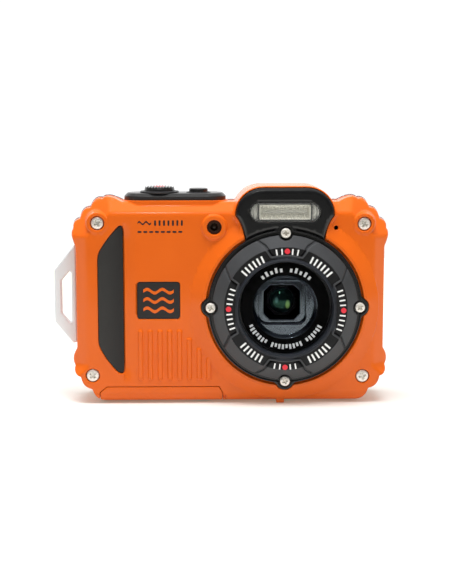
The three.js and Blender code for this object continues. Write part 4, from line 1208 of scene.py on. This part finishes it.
LOOP_OUTER = [
    (-55.6, 26.2), (-55.72, 35), (-55.6, 43.8), (-48.6, 52.3), (-47.95, 51.4), (-47.95, 19.2), (-49.6, 18.8),
]
LOOP_HOLE = [(-53.25, 29), (-53.25, 40.2), (-50.4, 43.6), (-49.5, 42.9), (-49.5, 26), (-50.5, 25.7)]


def strap_loop(x, y, z):
    outer = outline_distance(LOOP_OUTER, x, z)
    hole = outline_distance(LOOP_HOLE, x, z)
    plate_field = soft_max(soft_max(outer + 0.5, -hole + 0.1, 0.5) - 0.5 + 0.1, slab(y, 2, 5), 0.6)
    tongue = cuboid(x, y, z, (-48.4, 2.5, 30.1), (-45, 4.5, 39.9))
    keeper = cuboid(x, y, z, (-45.2, 2, 27), (-43.9, 5, 43))
    return either(plate_field, tongue, keeper)


replace_node("strap_loop", "strap_bar", strap_loop, 0.18, "loop_metal", ALLOY)


# ---- Rear screen and keys ----


def screen_window(x, y, z):
    low, high = box("screen_window")
    return soft_max(box_outline("screen_window", x, z, 0, 2.2), slab(y, low[1], high[1]), 0.25)


replace_node("screen_window", "screen_cover", screen_window, 0.2, "screen_glass", SCREEN)

for name in ROUND_KEYS:
    c, r = middle(name), radius(name)
    low, high = box(name)

    def round_key(x, y, z, c=c, r=r, low=low, high=high):
        across = off_axis(x, z, c)
        crown = high[1] - 0.35 * (across / r) ** 2
        return soft_max(soft_max(across - r, y - crown, 0.35), low[1] - y, 0.1)

    looks = ("red_plastic", RED) if name == "record_button" else ("key_plastic", KEY)
    replace_node(name, name.replace("button", "cap"), round_key, 0.1, *looks, name.replace("button", "key"))
for name in FLAT_KEYS:
    low, high = box(name)

    def flat_key(x, y, z, name=name, low=low, high=high):
        plan = key_outline(name, x, z, 0)
        crown = high[1] - 0.12 * np.clip(plan + 1.2, 0, 2)
        return soft_max(soft_max(plan, y - crown, 0.4), low[1] - y, 0.1)

    body = "zoom_lever" if name == "zoom_rocker" else name + "_key"
    replace_node(name, name + "_cap", flat_key, 0.1, "key_plastic", KEY, body)


# ---- Stage ----


def area_light(name, place_mm, target_mm, size_mm, watts):
    light = bpy.data.lights.new(name, "AREA")
    light.shape = "RECTANGLE"
    light.size, light.size_y = size_mm[0] * MM, size_mm[1] * MM
    light.energy = watts
    lamp = link(name, light)
    lamp.location = Vector(place_mm) * MM
    lamp.rotation_euler = (Vector(target_mm) - Vector(place_mm)).to_track_quat("-Z", "Y").to_euler()
    return lamp


def floor():
    """A pale table that gets brighter behind the camera, so that it melts into the white beyond it."""
    reach, near_edge, far_edge = 1500, -238, 420
    mesh = bpy.data.meshes.new("floor")
    corners = [(-reach, near_edge, 0), (reach, near_edge, 0), (reach, far_edge, 0), (-reach, far_edge, 0)]
    mesh.from_pydata(np.array(corners) * MM, [], [(0, 1, 2, 3)])
    paint = plastic("floor_paint", (0.66, 0.66, 0.65), (0.7, 0.7, 0.69), 0.7, bump_mm=0.0, patch_mm=300)
    distance = object_distance(paint.node_tree, (0, 0, 0), (0.6, 1, 0))
    glow(paint, (1, 0.98, 0.75), ramp(paint.node_tree, distance, 60 * MM, 380 * MM, 0.17, 0.7))
    mesh.materials.append(paint)
    link("floor", mesh)


FRONT_LIGHT, BACK_LIGHT, TOP_LIGHT, SIDE_LIGHT = 0.288, 0.5, 0.6, 0.32


def world():
    """A white studio: rough surfaces see light all round, and gloss sees a dim room behind the camera."""
    back = bpy.data.worlds.new("studio")
    back.use_nodes = True
    tree = back.node_tree
    where = add(tree, "TexCoord", {}).outputs["Generated"]
    parts = add(tree, "SeparateXYZ", {"Vector": where}).outputs
    y, z = parts["Y"], parts["Z"]
    around = ramp(tree, y, -0.3, 0.3, FRONT_LIGHT, BACK_LIGHT)
    soft = calculate(tree, "MAXIMUM", around, ramp(tree, z, 0.2, 0.8, 0, TOP_LIGHT))
    side = calculate(tree, "ABSOLUTE", parts["X"], 0.0)
    soft = calculate(tree, "ADD", soft, ramp(tree, side, 0.35, 0.95, 0, SIDE_LIGHT))
    behind = ramp(tree, y, 0.25, 0.85, 0.05, 1.6)
    sharp = calculate(tree, "MAXIMUM", behind, ramp(tree, z, 0.5, 0.9, 0, 0.9))
    ray = add(tree, "LightPath", {}).outputs
    lit = mix(tree, ray["Is Diffuse Ray"], sharp, soft)
    strength = mix(tree, ray["Is Camera Ray"], lit, 1.05)
    plug(tree.nodes["Background"], {"Color": (1, 1, 1, 1), "Strength": strength})
    bpy.context.scene.world = back


def camera():
    data = bpy.data.cameras.new("camera")
    data.lens = 77.15
    data.sensor_width = 36
    data.clip_start, data.clip_end = 0.01, 50
    eye = link("camera", data)
    pitch, yaw, distance = math.radians(8), math.radians(1.3), 420
    target = Vector((2.0, 1.5, 36.2))
    view = Vector((math.sin(yaw) * math.cos(pitch), math.cos(yaw) * math.cos(pitch), -math.sin(pitch)))
    eye.location = (target - view * distance) * MM
    eye.rotation_euler = view.to_track_quat("-Z", "Y").to_euler()
    bpy.context.scene.camera = eye


floor()
world()
camera()
overhead = area_light("overhead", (-20, -95, 600), (0, -65, 0), (500, 260), 5.2)
overhead.visible_glossy = False
sparkle = area_light("sparkle", (-40, -420, 420), (20, -10, 34), (36, 36), 0.35)
sparkle.visible_diffuse = False
bpy.context.scene.view_settings.view_transform = "Standard"
